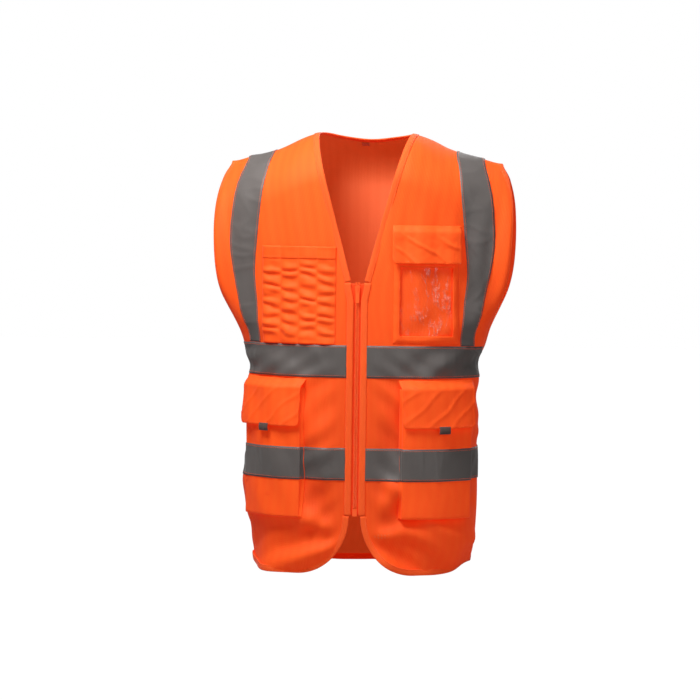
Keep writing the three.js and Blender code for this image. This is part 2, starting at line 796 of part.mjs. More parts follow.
// The two fastening strips: hook on the bag, loop on the flap's inside.
function pocketFastener(pocket, offset) {
  const inset = hookInset / pocket.width;
  const top = pocketTopZ - pocketFlapDrop + hookHeight + hookRise;
  return onFace(pocket, [inset, 1 - inset], top, top - hookHeight, offset, hookThickness);
}

// ---- badge pocket ------------------------------------------------------------------------

const badgeWindowOffset = clothThickness + badgeRoom;
const badgeFrameOffset = badgeWindowOffset + windowThickness + layerGap;
const badgeFlapOffset = badgeFrameOffset + clothThickness + flapClearance;

// Cloth frame: a face with the window cut out, and a rim that carries it off the front.
function badgeFrame() {
  const cells = [8, 8];
  const rim = 3;
  const face = badgeFrameOffset + clothThickness;
  const outside = patch(FRONT, badgeInnerX, badgeOuterX, badgeFrameTopZ, badgeFootZ, tapeOffset,
    face - tapeOffset, cells);
  const hollow = patch(FRONT, badgeInnerX + rim, badgeOuterX - rim, badgeFrameTopZ + 10,
    badgeFootZ + rim, 0, badgeFrameOffset, cells);
  const opening = patch(FRONT, badgeInnerX + badgeBorder, badgeOuterX - badgeBorder,
    badgeWindowTopZ, badgeFootZ + badgeBorder, 0, face + 5, cells);
  return cut(cut(outside, hollow), opening);
}

function badgeWindow() {
  const lap = badgeBorder - windowLap;
  return patch(FRONT, badgeInnerX + lap, badgeOuterX - lap, badgeWindowTopZ + windowLap,
    badgeFootZ + lap, badgeWindowOffset, windowThickness, [8, 8]);
}

function badgeFlap() {
  const stepShare = 0.2;
  return bentBox(8, 8, (across, through, down) => {
    const x = mix(badgeInnerX - badgeFlapLap, badgeOuterX + badgeFlapLap, across);
    const fall = THREE.MathUtils.smoothstep(down, 0, stepShare);
    const offset = mix(tapeOffset + tapeThickness + layerGap, badgeFlapOffset, fall);
    return onBody(FRONT, x, badgeTopZ - down * badgeFlapDrop, offset + through * clothThickness);
  });
}

function badgeFastener(offset) {
  const top = badgeTopZ - badgeFlapDrop + hookHeight + hookRise;
  return patch(FRONT, badgeInnerX + hookInset, badgeOuterX - hookInset, top, top - hookHeight,
    offset, hookThickness, [8, 3]);
}

// ---- pen pocket --------------------------------------------------------------------------

// One cloth face held off the front by five sewn seams, with four channels open at the top.
function penPocket() {
  const face = tapeOffset + penRoom;
  const pitch = (penOuterX - penInnerX - penSeam) / penChannels;
  let pocket = patch(FRONT, -penOuterX, -penInnerX, penTopZ, penFootZ, tapeOffset,
    penRoom + clothThickness, [10, 5]);
  for (let k = 0; k < penChannels; k += 1) {
    const x = -penOuterX + penSeam + k * pitch;
    pocket = cut(pocket, patch(FRONT, x, x + pitch - penSeam, penTopZ + 10, penFootZ + penSeam,
      0, face, [3, 5]));
  }
  return pocket;
}

function penHem() {
  const offset = tapeOffset + penRoom + clothThickness + layerGap / 2;
  return patch(FRONT, -penOuterX, -penInnerX, penTopZ, penTopZ - penHemHeight, offset,
    penHemThickness, [8, 1]);
}

function neckLabel() {
  const thickness = 0.5;
  return bentBox(2, 2, (across, through, down) => {
    const x = labelX + (across - 0.5) * labelWidth;
    const distance = labelDrop + down * labelHeight;
    const offset = -2 - thickness * (1 - through);
    return onCloth(BACK, x / halfWidth(-dropOf(distance)), distance, offset);
  });
}

// ---- assembly ----------------------------------------------------------------------------

const vest = new THREE.Group();

function add(name, geometry, look) {
  const mesh = new THREE.Mesh(geometry, new THREE.MeshStandardMaterial({ ...COLOURS[look] }));
  mesh.name = name;
  vest.add(mesh);
}

function addHand(hand, word) {
  add(`front_panel_${word}`, frontPanel(hand), 'cloth');
  add(`armhole_binding_${word}`, armholeBinding(hand), 'binding');
  add(`front_facing_${word}`, facing(hand), 'binding');
  add(`zip_tape_${word}`, zipTape(hand), 'zip');
  add(`zip_teeth_${word}`, zipTeeth(hand), 'zip');
  add(`zip_top_stop_${word}`, topStop(hand), 'zip');
  add(`shoulder_band_${word}`, shoulderBand(hand), 'tape');
  const bandInner = facingOuterX + bindingGap;
  add(`chest_band_${word}`, levelBand(FRONT, hand, chestBandTopZ, bandInner), 'tape');
  const pocket = pocketPlace(hand);
  const bandOuter = Math.abs(pocket.innerX) - 1;
  add(`waist_band_${word}`, levelBand(FRONT, hand, waistBandTopZ, bandInner, bandOuter), 'tape');
  add(`pocket_bag_${word}`, pocketBag(pocket), 'cloth');
  const bandFoot = waistBandTopZ - tapeWidth;
  add(`pocket_band_${word}`,
    onFace(pocket, [0.005, 0.995], waistBandTopZ, bandFoot, bindingGap, tapeThickness), 'tape');
  add(`pocket_hook_${word}`, pocketFastener(pocket, hookGap), 'hook');
  add(`pocket_loop_${word}`, pocketFastener(pocket, 2 * hookGap + hookThickness), 'hook');
  add(`pocket_flap_${word}`, pocketFlap(pocket), 'cloth');
  add(`pocket_tab_${word}`, pullTab(pocket), 'tab');
}

add('back_panel', backPanel(), 'cloth');
add('neck_binding', neckBinding(), 'binding');
add('hem_binding', hemBinding(), 'binding');
addHand(RIGHT, 'right');
addHand(LEFT, 'left');
add('chest_band_back', backBand(chestBandTopZ), 'tape');
add('waist_band_back', backBand(waistBandTopZ), 'tape');
add('zip_slider', slider(), 'zip');
add('zip_puller', puller(), 'zip');
add('zip_retainer_box', retainerBox(), 'zip');
add('zip_insertion_pin', insertionPin(), 'zip');
add('badge_pocket_frame', badgeFrame(), 'cloth');
add('badge_window', badgeWindow(), 'window');
add('badge_flap', badgeFlap(), 'cloth');
add('badge_hook', badgeFastener(badgeFrameOffset + clothThickness + hookGap), 'hook');
add('badge_loop', badgeFastener(badgeFlapOffset - hookGap - hookThickness), 'hook');
add('pen_pocket', penPocket(), 'cloth');
add('pen_pocket_hem', penHem(), 'cloth');
add('neck_label', neckLabel(), 'label');

export default vest;
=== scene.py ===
"""Dresses the CAD frame of a high visibility vest in cloth, reflective tape and plastic.

Every cloth piece is a fine grid laid on one worn surface, which has the same outline as the
frame's. A place on it is given by side (front or back), x and z. Lengths are in metres.
"""

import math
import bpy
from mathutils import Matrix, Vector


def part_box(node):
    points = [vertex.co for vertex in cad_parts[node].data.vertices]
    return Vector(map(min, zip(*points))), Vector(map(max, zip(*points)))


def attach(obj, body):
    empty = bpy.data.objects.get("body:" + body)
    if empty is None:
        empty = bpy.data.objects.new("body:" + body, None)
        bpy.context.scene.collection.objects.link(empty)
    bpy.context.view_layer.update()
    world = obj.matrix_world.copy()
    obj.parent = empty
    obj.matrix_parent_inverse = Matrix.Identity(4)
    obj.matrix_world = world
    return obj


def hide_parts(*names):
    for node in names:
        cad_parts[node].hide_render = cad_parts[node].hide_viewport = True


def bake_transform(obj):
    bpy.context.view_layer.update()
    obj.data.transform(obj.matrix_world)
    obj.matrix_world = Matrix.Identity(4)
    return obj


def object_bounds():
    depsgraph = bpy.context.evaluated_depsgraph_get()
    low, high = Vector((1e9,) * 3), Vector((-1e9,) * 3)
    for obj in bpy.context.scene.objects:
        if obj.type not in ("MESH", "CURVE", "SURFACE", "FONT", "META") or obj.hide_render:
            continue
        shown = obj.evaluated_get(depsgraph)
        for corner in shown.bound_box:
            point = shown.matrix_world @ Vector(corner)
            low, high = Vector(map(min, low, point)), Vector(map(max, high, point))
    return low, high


bl_info = {
    "name": "High visibility vest",
    "version": (1, 0, 0),
    "blender": (4, 5, 0),
    "location": "View3D > Sidebar > Vest",
    "description": "Makes the cloth, tape, zip and pockets of a safety vest around its frame",
    "category": "Object",
}

import bpy
import bmesh
import numpy as np
from mathutils import Matrix, Vector, noise

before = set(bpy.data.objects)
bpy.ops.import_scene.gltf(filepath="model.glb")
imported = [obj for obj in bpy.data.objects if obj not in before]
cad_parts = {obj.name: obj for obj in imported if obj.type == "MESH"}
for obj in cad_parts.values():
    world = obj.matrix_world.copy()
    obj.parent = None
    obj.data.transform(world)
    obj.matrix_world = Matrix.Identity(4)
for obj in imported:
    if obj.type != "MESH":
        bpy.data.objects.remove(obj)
CAD_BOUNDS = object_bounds()

MM = 0.001
FRONT, BACK = -1, 1
HANDS = {"right": -1, "left": 1}

# ---- the worn surface: the frame's outline, in millimetres until curve_through scales it -----

HEM_Z = CAD_BOUNDS[0][2]
FRONT_DEPTH = 116 * MM
BACK_DEPTH = 100 * MM
UNDERARM_Z = -335 * MM
SHOULDER_TIP_X = 212 * MM
SHOULDER_ROUND = 80 * MM
SHOULDER_TURN = SHOULDER_ROUND * math.pi / 2
SQUARENESS = 2.4
ARMHOLE_HALF_DEPTH = 58 * MM
ARMHOLE_ROUNDNESS = 0.75
ARMHOLE_REACH = 8
BODY_FULLNESS = 0.45
CHEST_FULLNESS = 0.75
NECK_HALF_WIDTH = 73 * MM
BACK_NECK_DROP = 40 * MM
V_BOTTOM_X = 11 * MM
V_BOTTOM_Z = -230 * MM
ZIP_FOOT_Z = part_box("zip_retainer_box")[0].z
HEM_CORNER_X = 10 * MM
HEM_CORNER_WIDTH = 82 * MM
FACING_INNER_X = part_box("front_facing_left")[0].x
FACING_OUTER_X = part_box("front_facing_left")[1].x
CHEST_BAND_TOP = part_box("chest_band_left")[1].z
WAIST_BAND_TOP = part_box("waist_band_left")[1].z
TAPE_WIDTH = CHEST_BAND_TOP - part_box("chest_band_left")[0].z
LEVEL_BANDS = (("chest", CHEST_BAND_TOP), ("waist", WAIST_BAND_TOP))

CLOTH = 0.6 * MM
TAPE = 0.4 * MM
TAPE_LIFT = CLOTH + 0.25 * MM


def curve_through(points):
    """A smooth function through [position, value] points given in millimetres."""
    known = np.array(sorted(points), float) * MM
    at, value = known[:, 0], known[:, 1]
    secant = np.diff(value) / np.diff(at)
    slope = np.concatenate([[0], (secant[1:] + secant[:-1]) / 2, [0]])

    def evaluate(position):
        p = np.clip(position, at[0], at[-1])
        i = np.clip(np.searchsorted(at, p) - 1, 0, len(at) - 2)
        h = at[i + 1] - at[i]
        t = (p - at[i]) / h
        rise = value[i + 1] - value[i]
        bend = slope[i] * h * t * (1 - t) ** 2 - slope[i + 1] * h * t * t * (1 - t)
        return value[i] + rise * t * t * (3 - 2 * t) + bend

    return evaluate


half_width = curve_through([
    (-680, 169), (-640, 175), (-560, 180), (-400, 180), (-362, 180), (-345, 182), (-315, 191),
    (-270, 210), (-225, 225), (-170, 231), (-110, 230), (-70, 222), (-45, 212),
])
shoulder_line = curve_through([
    (0, 0), (73, 0), (90, -5), (125, -21), (150, -30), (180, -37), (212, -45),
])
band_inner_x = curve_through([
    (-330, 155), (-270, 160), (-215, 165), (-160, 161), (-110, 156), (-60, 149), (-25, 141),
])
band_outer_x = curve_through([
    (-330, 174), (-265, 189), (-210, 201), (-172, 206), (-110, 202), (-70, 193), (-38, 184),
])


def mix(a, b, t):
    return a + (b - a) * t


def smooth(value, low, high):
    t = np.clip((value - low) / (high - low), 0, 1)
    return t * t * (3 - 2 * t)


def drop_of(distance):
    """Height below the shoulder line at a cloth distance from it."""
    turning = SHOULDER_ROUND * (1 - np.cos(np.minimum(distance, SHOULDER_TURN) / SHOULDER_ROUND))
    return turning + np.maximum(0, distance - SHOULDER_TURN)


def distance_of(drop):
    """Cloth distance from the shoulder line at a height below it."""
    held = np.clip(drop, 0, SHOULDER_ROUND)
    return SHOULDER_ROUND * np.arccos(1 - held / SHOULDER_ROUND) + np.maximum(
        0, drop - SHOULDER_ROUND)


def armhole_depth(z):
    tip = shoulder_line(SHOULDER_TIP_X)
    share = np.clip((z - UNDERARM_Z) / (tip - UNDERARM_Z), 0, 1)
    return ARMHOLE_HALF_DEPTH * np.sin(math.pi * share) ** ARMHOLE_ROUNDNESS


def body_point(side, share, distance):
    """Points of the worn surface. share is x as a share of the half-width at that height."""
    share, distance = np.broadcast_arrays(np.asarray(share, float), np.asarray(distance, float))
    drop = drop_of(distance)
    z = -drop
    for _ in range(6):
        x = share * half_width(z)
        z = shoulder_line(np.abs(x)) - drop
    depth = FRONT_DEPTH if side == FRONT else BACK_DEPTH
    height = smooth(z, UNDERARM_Z - 0.02, UNDERARM_Z + 0.12)
    fullness = mix(BODY_FULLNESS, CHEST_FULLNESS, height)
    bulge = np.maximum(0, 1 - np.abs(share) ** SQUARENESS) ** fullness
    flare = armhole_depth(z) * np.abs(share) ** ARMHOLE_REACH
    turned = np.sin(np.minimum(distance / SHOULDER_ROUND, math.pi / 2))
    return np.stack([x, side * turned * (depth * bulge + flare), z], axis=-1)


def unit(vectors):
    return vectors / np.maximum(np.linalg.norm(vectors, axis=-1, keepdims=True), 1e-12)


def body_normal(side, share, distance):
    step = 1 * MM
    middle = np.clip(share, -0.985, 0.985)
    down = np.maximum(distance, 2 * step)
    tick = 0.01
    across = body_point(side, middle + tick, down) - body_point(side, middle - tick, down)
    along = body_point(side, middle, down + step) - body_point(side, middle, down - step)
    normal = unit(np.cross(across, along))
    outward = np.array([0, side, 0.2])
    return normal * np.where(normal @ outward < 0, -1, 1)[..., None]


# ---- how the cloth falls ---------------------------------------------------------------------

def noise_at(points, scale, seed):
    """Smooth noise from -1 to 1. scale gives the ripples per metre along each axis."""
    shift = Vector((seed * 7.31, seed * 3.17, seed * 5.73))
    sx, sy, sz = scale
    return np.array([
        noise.noise(Vector((p[0] * sx, p[1] * sy, p[2] * sz)) + shift) for p in points.tolist()
    ])


def ridges(values, sharpness=2.0):
    """Turns noise into narrow raised creases, from 0 to 1."""
    return np.clip(1 - np.abs(values) * sharpness, 0, 1) ** 2


HANG_HEIGHT = 1.3 * MM
FAN_HEIGHT = 8.0 * MM
FINE_HEIGHT = 1.3 * MM
DRAG_HEIGHT = 2.2 * MM
BACK_FOLD_HEIGHT = 4.2 * MM
HEM_WAVE_HEIGHT = 1.5 * MM
SIDE_SEAM_DEPTH = 1.3 * MM
SHOULDER_SEAM_DEPTH = 0.8 * MM


def drape(points):
    """How far the cloth stands off the worn surface: folds, seams and the waves of the hem."""
    x, y, z = points[:, 0], points[:, 1], points[:, 2]
    front = smooth(-y, 0.0, 0.03)
    back = smooth(y, 0.0, 0.03)
    low = smooth(-z, 0.36, 0.6)
    soft = 2.2 * MM * noise_at(points, (9, 9, 5), 1)
    soft += 1.8 * MM * noise_at(points, (26, 26, 9), 2)
    # creases that hang from the shoulders down to the chest band
    hang = np.sin(np.abs(x) / 0.043 * 2 * math.pi + 2.2 * noise_at(points, (6, 6, 7), 5))
    soft += HANG_HEIGHT * hang * smooth(-z, 0.06, 0.16) * (1 - smooth(-z, 0.26, 0.34))
    # folds that fan out from the foot of the zip
    angle = np.arctan2(np.abs(x), z - ZIP_FOOT_Z + 0.03)
    reach = np.hypot(x, z - ZIP_FOOT_Z)
    fan = np.sin(angle * 8 + 1.5 * np.sign(x) + 1.2 * noise_at(points, (8, 8, 8), 6))
    fan = np.where(fan > 0, fan, fan * 0.6) * smooth(reach, 0.015, 0.08)
    fan *= 1 - 0.75 * smooth(reach, 0.16, 0.3)
    folds = FAN_HEIGHT * front * fan * smooth(-z, 0.39, 0.47)
    fine = np.sin((z * 0.8 + np.abs(x) * 0.6) * 2 * math.pi / 0.034 + 4 * noise_at(
        points, (11, 11, 11), 7))
    folds += FINE_HEIGHT * front * fine * smooth(-z, 0.3, 0.4)
    # drag lines that run from the underarm towards the zip
    slant = (np.abs(x) * 0.55 - z * 0.84) * 2 * math.pi / 0.052
    drag = np.sin(slant + 3 * noise_at(points, (7, 7, 7), 3))
    folds += DRAG_HEIGHT * drag * np.exp(-((z + 0.38) / 0.1) ** 2) * smooth(np.abs(x), 0.04, 0.12)
    # long soft folds down the back, and a slack waist
    folds += back * BACK_FOLD_HEIGHT * np.sin(x / 0.105 * 2 * math.pi + 0.8) * smooth(-z, 0.16, 0.5)
    folds += back * 1.8 * MM * noise_at(points, (16, 6, 5), 4) * smooth(-z, 0.1, 0.3)
    # waves of the hem
    wave = np.sin(np.arctan2(y, x) * 9 + 0.7) + 0.6 * np.sin(np.arctan2(y, x) * 17 + 2.1)
    folds += HEM_WAVE_HEIGHT * wave * low * smooth(-z, 0.5, 0.68)
    # the cloth is held in at its seams
    side_seam = np.exp(-(y / 0.006) ** 2) * smooth(-z, 0.335, 0.36)
    shoulder_seam = np.exp(-(y / 0.006) ** 2) * smooth(z, -0.09, -0.05)
    seams = -SIDE_SEAM_DEPTH * side_seam - SHOULDER_SEAM_DEPTH * shoulder_seam
    # flat along the zip, between the two facings
    free = 1 - (1 - smooth(np.abs(x), 0.017, 0.05)) * front * smooth(-z, 0.17, 0.23)
    return (soft + folds) * free + seams


def on_cloth(side, share, distance, lift=0.0, fall=True):
    """Points and outward directions on the draped cloth."""
    share, distance = np.broadcast_arrays(np.asarray(share, float), np.asarray(distance, float))
    share, distance = share.ravel(), distance.ravel()
    points = body_point(side, share, distance)
    normals = body_normal(side, share, distance)
    lifted = np.zeros(len(points)) + lift
    if fall:
        lifted = lifted + drape(points)
    return points + normals * lifted[:, None], normals


def on_body(side, x, z, lift=0.0, fall=True):
    x, z = np.broadcast_arrays(np.asarray(x, float), np.asarray(z, float))
    share = np.clip(x / half_width(z), -1, 1)
    return on_cloth(side, share, distance_of(shoulder_line(np.abs(x)) - z), lift, fall)


HEM_RISE = 14 * MM


def hem_z(x):
    """The hem's height: level, but drawn up a little at the side seams."""
    width = half_width(HEM_Z)
    return HEM_Z + HEM_RISE * np.clip((np.abs(x) / width - 0.72) / 0.28, 0, 1) ** 3


def neck_edge_x(z):
    return mix(NECK_HALF_WIDTH, V_BOTTOM_X, np.clip(z / V_BOTTOM_Z, 0, 1))


def front_hem_z(x):
    share = np.clip((x - HEM_CORNER_X) / HEM_CORNER_WIDTH, 0, 1)
    return mix(ZIP_FOOT_Z, hem_z(x), np.sqrt(1 - (1 - share) ** 2))


def back_neck_distance(x):
    share = np.clip(np.abs(x) / NECK_HALF_WIDTH, 0, 1)
    return BACK_NECK_DROP * np.sqrt(1 - share * share)


# ---- meshes ----------------------------------------------------------------------------------

def grid(rows, columns):
    """Shares down and across of a grid's corners, row by row."""
    down, across = np.meshgrid(
        np.linspace(0, 1, rows + 1), np.linspace(0, 1, columns + 1), indexing="ij")
    return down.ravel(), across.ravel()


MIN_FLAT = 0.0101  # no side of a sheet is declared shorter than this


def lengths_along(points, rows, columns):
    """Distances across and down the cloth at each corner, and its greatest width and length."""
    sheet = laid_out(points, rows, columns)
    across = np.linalg.norm(np.diff(sheet, axis=1), axis=2)
    down = np.linalg.norm(np.diff(sheet, axis=0), axis=2)
    u = np.concatenate([np.zeros((rows + 1, 1)), np.cumsum(across, axis=1)], axis=1)
    u = u - u[:, -1:] / 2
    v = np.concatenate([np.zeros((1, columns + 1)), np.cumsum(down, axis=0)], axis=0)
    flat = tuple(max(MIN_FLAT, float(length)) for length in (across.sum(1).max(), down.sum(0).max()))
    return np.stack([u.ravel(), v.ravel()], axis=1), flat


def new_mesh_object(name, points, faces, uv, material):
    mesh = bpy.data.meshes.new(name)
    mesh.from_pydata(np.asarray(points).tolist(), [], np.asarray(faces).tolist())
    if uv is not None:
        layer = mesh.uv_layers.new(name="cloth")
        corner = np.zeros(len(mesh.loops), np.int32)
        mesh.loops.foreach_get("vertex_index", corner)
        layer.data.foreach_set("uv", np.asarray(uv, np.float32)[corner].ravel())
    mesh.polygons.foreach_set("use_smooth", [True] * len(mesh.polygons))
    mesh.update()
    obj = bpy.data.objects.new(name, mesh)
    bpy.context.scene.collection.objects.link(obj)
    mesh.materials.append(material)
    return obj


def laid_out(values, rows, columns):
    """A sheet's points or directions as rows and columns."""
    return values.reshape(rows + 1, columns + 1, 3)


def strip_grids(strip):
    """The points and outward directions of a strip as rows and columns."""
    points, normals, rows, columns = strip
    return laid_out(points, rows, columns), laid_out(normals, rows, columns)


def distance_along(path):
    """Distance from the start of a path to each of its points."""
    return np.concatenate([[0], np.cumsum(np.linalg.norm(np.diff(path, axis=0), axis=1))])


def sheet_area(points, rows, columns):
    s = laid_out(points, rows, columns)
    one = np.cross(s[1:, :-1] - s[:-1, :-1], s[:-1, 1:] - s[:-1, :-1])
    two = np.cross(s[1:, 1:] - s[1:, :-1], s[1:, 1:] - s[:-1, 1:])
    return (np.linalg.norm(one, axis=2).sum() + np.linalg.norm(two, axis=2).sum()) / 2


def cloth_sheet(name, points, normals, rows, columns, thickness, material,
                inside=None):
    """A closed sheet: an inner face through the points and an outer one a thickness above.

    Its flat size and area are measured on the finished sheet, not on a cutting pattern.
    """
    count = columns + 1
    index = np.arange((rows + 1) * count).reshape(rows + 1, count)
    a, b = index[:-1, :-1].ravel(), index[:-1, 1:].ravel()
    c, d = index[1:, 1:].ravel(), index[1:, :-1].ravel()
    quads = np.stack([a, d, c, b], axis=1)
    facing = np.cross(points[d] - points[a], points[b] - points[a])
    if (facing * normals[a]).sum() < 0:
        quads = quads[:, ::-1]
    rim = np.concatenate([index[0, :], index[1:, -1], index[-1, -2::-1], index[-2:0:-1, 0]])
    rolled = np.ones(len(points))
    rolled[rim] = 0.55
    thick = normals * (thickness * rolled)[:, None]
    slack = normals * (thickness * 0.5 * (1 - rolled))[:, None]
    corners = np.concatenate([points + slack, points + slack + thick])
    size = len(points)
    after = np.roll(rim, -1)
    wall = np.stack([rim, after, after + size, rim + size], axis=1)
    along = points[after[0]] - points[rim[0]]
    inward = points[index[rows // 2, columns // 2]] - points[rim[0]]
    if (np.cross(along, normals[rim[0]]) @ inward) > 0:
        wall = wall[:, ::-1]
    faces = np.concatenate([quads + size, quads[:, ::-1], wall])
    uv, flat = lengths_along(points, rows, columns)
    obj = new_mesh_object(name, corners, faces, np.concatenate([uv, uv]), material)
    if inside:
        obj.data.materials.append(inside)
        slots = np.zeros(len(faces), np.int32)
        slots[len(quads):2 * len(quads)] = 1
        obj.data.polygons.foreach_set("material_index", slots)
    recalculate(obj)
    area = min(float(sheet_area(points, rows, columns)), flat[0] * flat[1])
    return obj


def recalculate(obj):
    """Turns every face outwards."""
    work = bmesh.new()
    work.from_mesh(obj.data)
    bmesh.ops.recalc_face_normals(work, faces=work.faces)
    work.to_mesh(obj.data)
    work.free()
    obj.data.update()


def swept(name, path, outward, inward, profile, material, closed=False):
    """A solid whose section, given as (inward, outward) pairs, follows a path."""
    section = np.array(profile)
    count, size = len(path), len(section)
    corners = (path[:, None, :] + inward[:, None, :] * section[None, :, :1]
               + outward[:, None, :] * section[None, :, 1:])
    around_and_along = np.meshgrid(distance_along(section), distance_along(path))
    uv = np.stack(around_and_along, axis=-1).reshape(-1, 2)
    index = np.arange(count * size).reshape(count, size)
    ends = count if closed else count - 1
    faces = []
    for i in range(ends):
        j = (i + 1) % count
        for k in range(size):
            m = (k + 1) % size
            faces.append([index[i, k], index[i, m], index[j, m], index[j, k]])
    obj = new_mesh_object(name, corners.reshape(-1, 3), faces, uv, material)
    if not closed:
        work = bmesh.new()
        work.from_mesh(obj.data)
        bmesh.ops.holes_fill(work, edges=[e for e in work.edges if e.is_boundary], sides=0)
        work.to_mesh(obj.data)
        work.free()
    recalculate(obj)
    return obj


def folded_strip(width, thickness, groove=0.78):
    """Section of a binding folded round an edge, with a stitched groove on both faces."""
    half = thickness / 2
    dip = half * 0.62
    turn = [(-half * math.cos(a), half * math.sin(a))
            for a in np.linspace(-math.pi / 2, math.pi / 2, 7)]
    top = [(width * 0.3, half * 1.06), (width * (groove - 0.1), half), (width * groove, dip),
           (width * (groove + 0.1), half), (width, half * 0.7)]
    return turn + top + [(x, -y) for x, y in reversed(top)]


def edge_frames(path, normals, towards, closed=False):
    """Outward and inward directions of a strip along an edge. towards points into the cloth."""
    if closed:
        along = unit(np.roll(path, -1, axis=0) - np.roll(path, 1, axis=0))
    else:
        along = unit(np.gradient(path, axis=0))
    inward = unit(np.cross(along, normals))
    inward *= np.where((inward * towards).sum(1) < 0, -1, 1)[:, None]
    outward = unit(np.cross(inward, along))
    outward *= np.where((outward * normals).sum(1) < 0, -1, 1)[:, None]
    return outward, inward


STITCH_PITCH = 3.4 * MM
STITCH_LENGTH = 2.3 * MM
STITCH_WIDTH = 0.5 * MM


def stitches(name, lines, material, body):
    """Rows of short raised threads. Each line is (points, outward directions)."""
    corners, faces = [], []
    section = [(-1, -0.4), (-0.6, 0.7), (0.6, 0.7), (1, -0.4)]
    for path, normals in lines:
        at = distance_along(path)
        starts = np.arange(STITCH_PITCH / 2, at[-1] - STITCH_LENGTH, STITCH_PITCH)
        if not len(starts):
            continue
        place = lambda s: np.stack([np.interp(s, at, path[:, k]) for k in range(3)], axis=1)
        first, last = place(starts), place(starts + STITCH_LENGTH)
        out = unit(np.stack([np.interp(starts, at, normals[:, k]) for k in range(3)], axis=1))
        side = unit(np.cross(last - first, out)) * STITCH_WIDTH / 2
        for a, b, n, s in zip(first, last, out * STITCH_WIDTH / 2, side):
            base = len(corners)
            middle = (a + b) / 2 + n * 0.5
            for centre, size in ((a, 0.5), (middle, 1.0), (b, 0.5)):
                corners.extend(centre + s * p * size + n * q * size for p, q in section)
            for ring in (0, 4):
                for k in range(4):
                    m = (k + 1) % 4
                    faces.append([base + ring + k, base + ring + m, base + ring + 4 + m,
                                  base + ring + 4 + k])
            faces.append([base + k for k in (3, 2, 1, 0)])
            faces.append([base + 8 + k for k in (0, 1, 2, 3)])
    obj = new_mesh_object(name, corners, faces, None, material)
    recalculate(obj)
    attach(obj, body)
    return obj


def worn_as(obj, body, node):
    """The piece rides on a body and stands for a node of the frame, which it hides.

    A flap is given no body; blend_down only bakes its place into its points.
    """
    if body:
        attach(obj, body)
    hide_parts(node)


# ---- materials -------------------------------------------------------------------------------

def shader_group(name, inputs, outputs):
    group = bpy.data.node_groups.new(name, "ShaderNodeTree")
    for label, kind, default in inputs:
        socket = group.interface.new_socket(label, in_out="INPUT", socket_type=kind)
        if default is not None:
            socket.default_value = default
    for label, kind in outputs:
        group.interface.new_socket(label, in_out="OUTPUT", socket_type=kind)
    return group, group.nodes.new("NodeGroupInput"), group.nodes.new("NodeGroupOutput")


class Wires:
    """Short names for adding and joining nodes in one tree."""

    def __init__(self, tree):
        self.tree = tree

    def node(self, kind, **settings):
        made = self.tree.nodes.new(kind)
        for key, value in settings.items():
            setattr(made, key, value)
        return made

    def join(self, start, end):
        self.tree.links.new(start, end)

    def math(self, operation, a, b=None, clamp=False):
        made = self.node("ShaderNodeMath", operation=operation, use_clamp=clamp)
        for socket, value in zip(made.inputs, (a, b)):
            if value is None:
                continue
            if isinstance(value, (int, float)):
                socket.default_value = value
            else:
                self.join(value, socket)
        return made.outputs[0]

    def mix_colour(self, factor, a, b):
        made = self.node("ShaderNodeMix", data_type="RGBA")
        for socket, value in ((made.inputs[0], factor), (made.inputs[6], a), (made.inputs[7], b)):
            if isinstance(value, (int, float, tuple, list)):
                socket.default_value = value
            else:
                self.join(value, socket)
        return made.outputs[2]

    def wave(self, coordinate, direction, scale, distortion=0.0):
        made = self.node("ShaderNodeTexWave", bands_direction=direction)
        made.inputs["Scale"].default_value = scale
        made.inputs["Distortion"].default_value = distortion
        self.join(coordinate, made.inputs["Vector"])
        return made.outputs["Fac"]

    def noise(self, coordinate, scale, detail=2.0, roughness=0.5):
        made = self.node("ShaderNodeTexNoise")
        made.inputs["Scale"].default_value = scale
        made.inputs["Detail"].default_value = detail
        made.inputs["Roughness"].default_value = roughness
        self.join(coordinate, made.inputs["Vector"])
        return made.outputs["Fac"]


def knit_group():
    """Warp knit: fine wales down the cloth crossed by courses, with small open eyes."""
    group, start, end = shader_group("warp_knit", [
        ("Cloth", "NodeSocketVector", None), ("Wales", "NodeSocketFloat", 300.0),
    ], [("Height", "NodeSocketFloat"), ("Eyes", "NodeSocketFloat")])
    w = Wires(group)
    split = w.node("ShaderNodeSeparateXYZ")
    w.join(start.outputs["Cloth"], split.inputs[0])
    across = w.math("MULTIPLY", split.outputs[0], start.outputs["Wales"])
    down = w.math("MULTIPLY", split.outputs[1], start.outputs["Wales"])
    wale = w.math("ABSOLUTE", w.math("SINE", w.math("MULTIPLY", across, math.pi)))
    shifted = w.math("ADD", w.math("MULTIPLY", down, math.pi * 0.8),
                     w.math("MULTIPLY", w.math("FLOOR", across), math.pi / 2))
    course = w.math("ABSOLUTE", w.math("SINE", shifted))
    loop = w.math("MULTIPLY", wale, w.math("ADD", w.math("MULTIPLY", course, 0.6), 0.4))
    w.join(loop, end.inputs["Height"])
    w.join(w.math("SUBTRACT", 1.0, w.math("POWER", loop, 0.5), clamp=True), end.inputs["Eyes"])
    return group


def wear_group():
    """Uneven dye and slight soiling: a broad and a fine mask."""
    group, start, end = shader_group("cloth_wear", [
        ("Place", "NodeSocketVector", None), ("Broad", "NodeSocketFloat", 6.0),
    ], [("Dye", "NodeSocketFloat"), ("Fuzz", "NodeSocketFloat")])
    w = Wires(group)
    broad = w.node("ShaderNodeTexNoise")
    broad.inputs["Detail"].default_value = 3.0
    w.join(start.outputs["Place"], broad.inputs["Vector"])
    w.join(start.outputs["Broad"], broad.inputs["Scale"])
    w.join(broad.outputs["Fac"], end.inputs["Dye"])
    w.join(w.noise(start.outputs["Place"], 900.0, 2.0), end.inputs["Fuzz"])
    return group


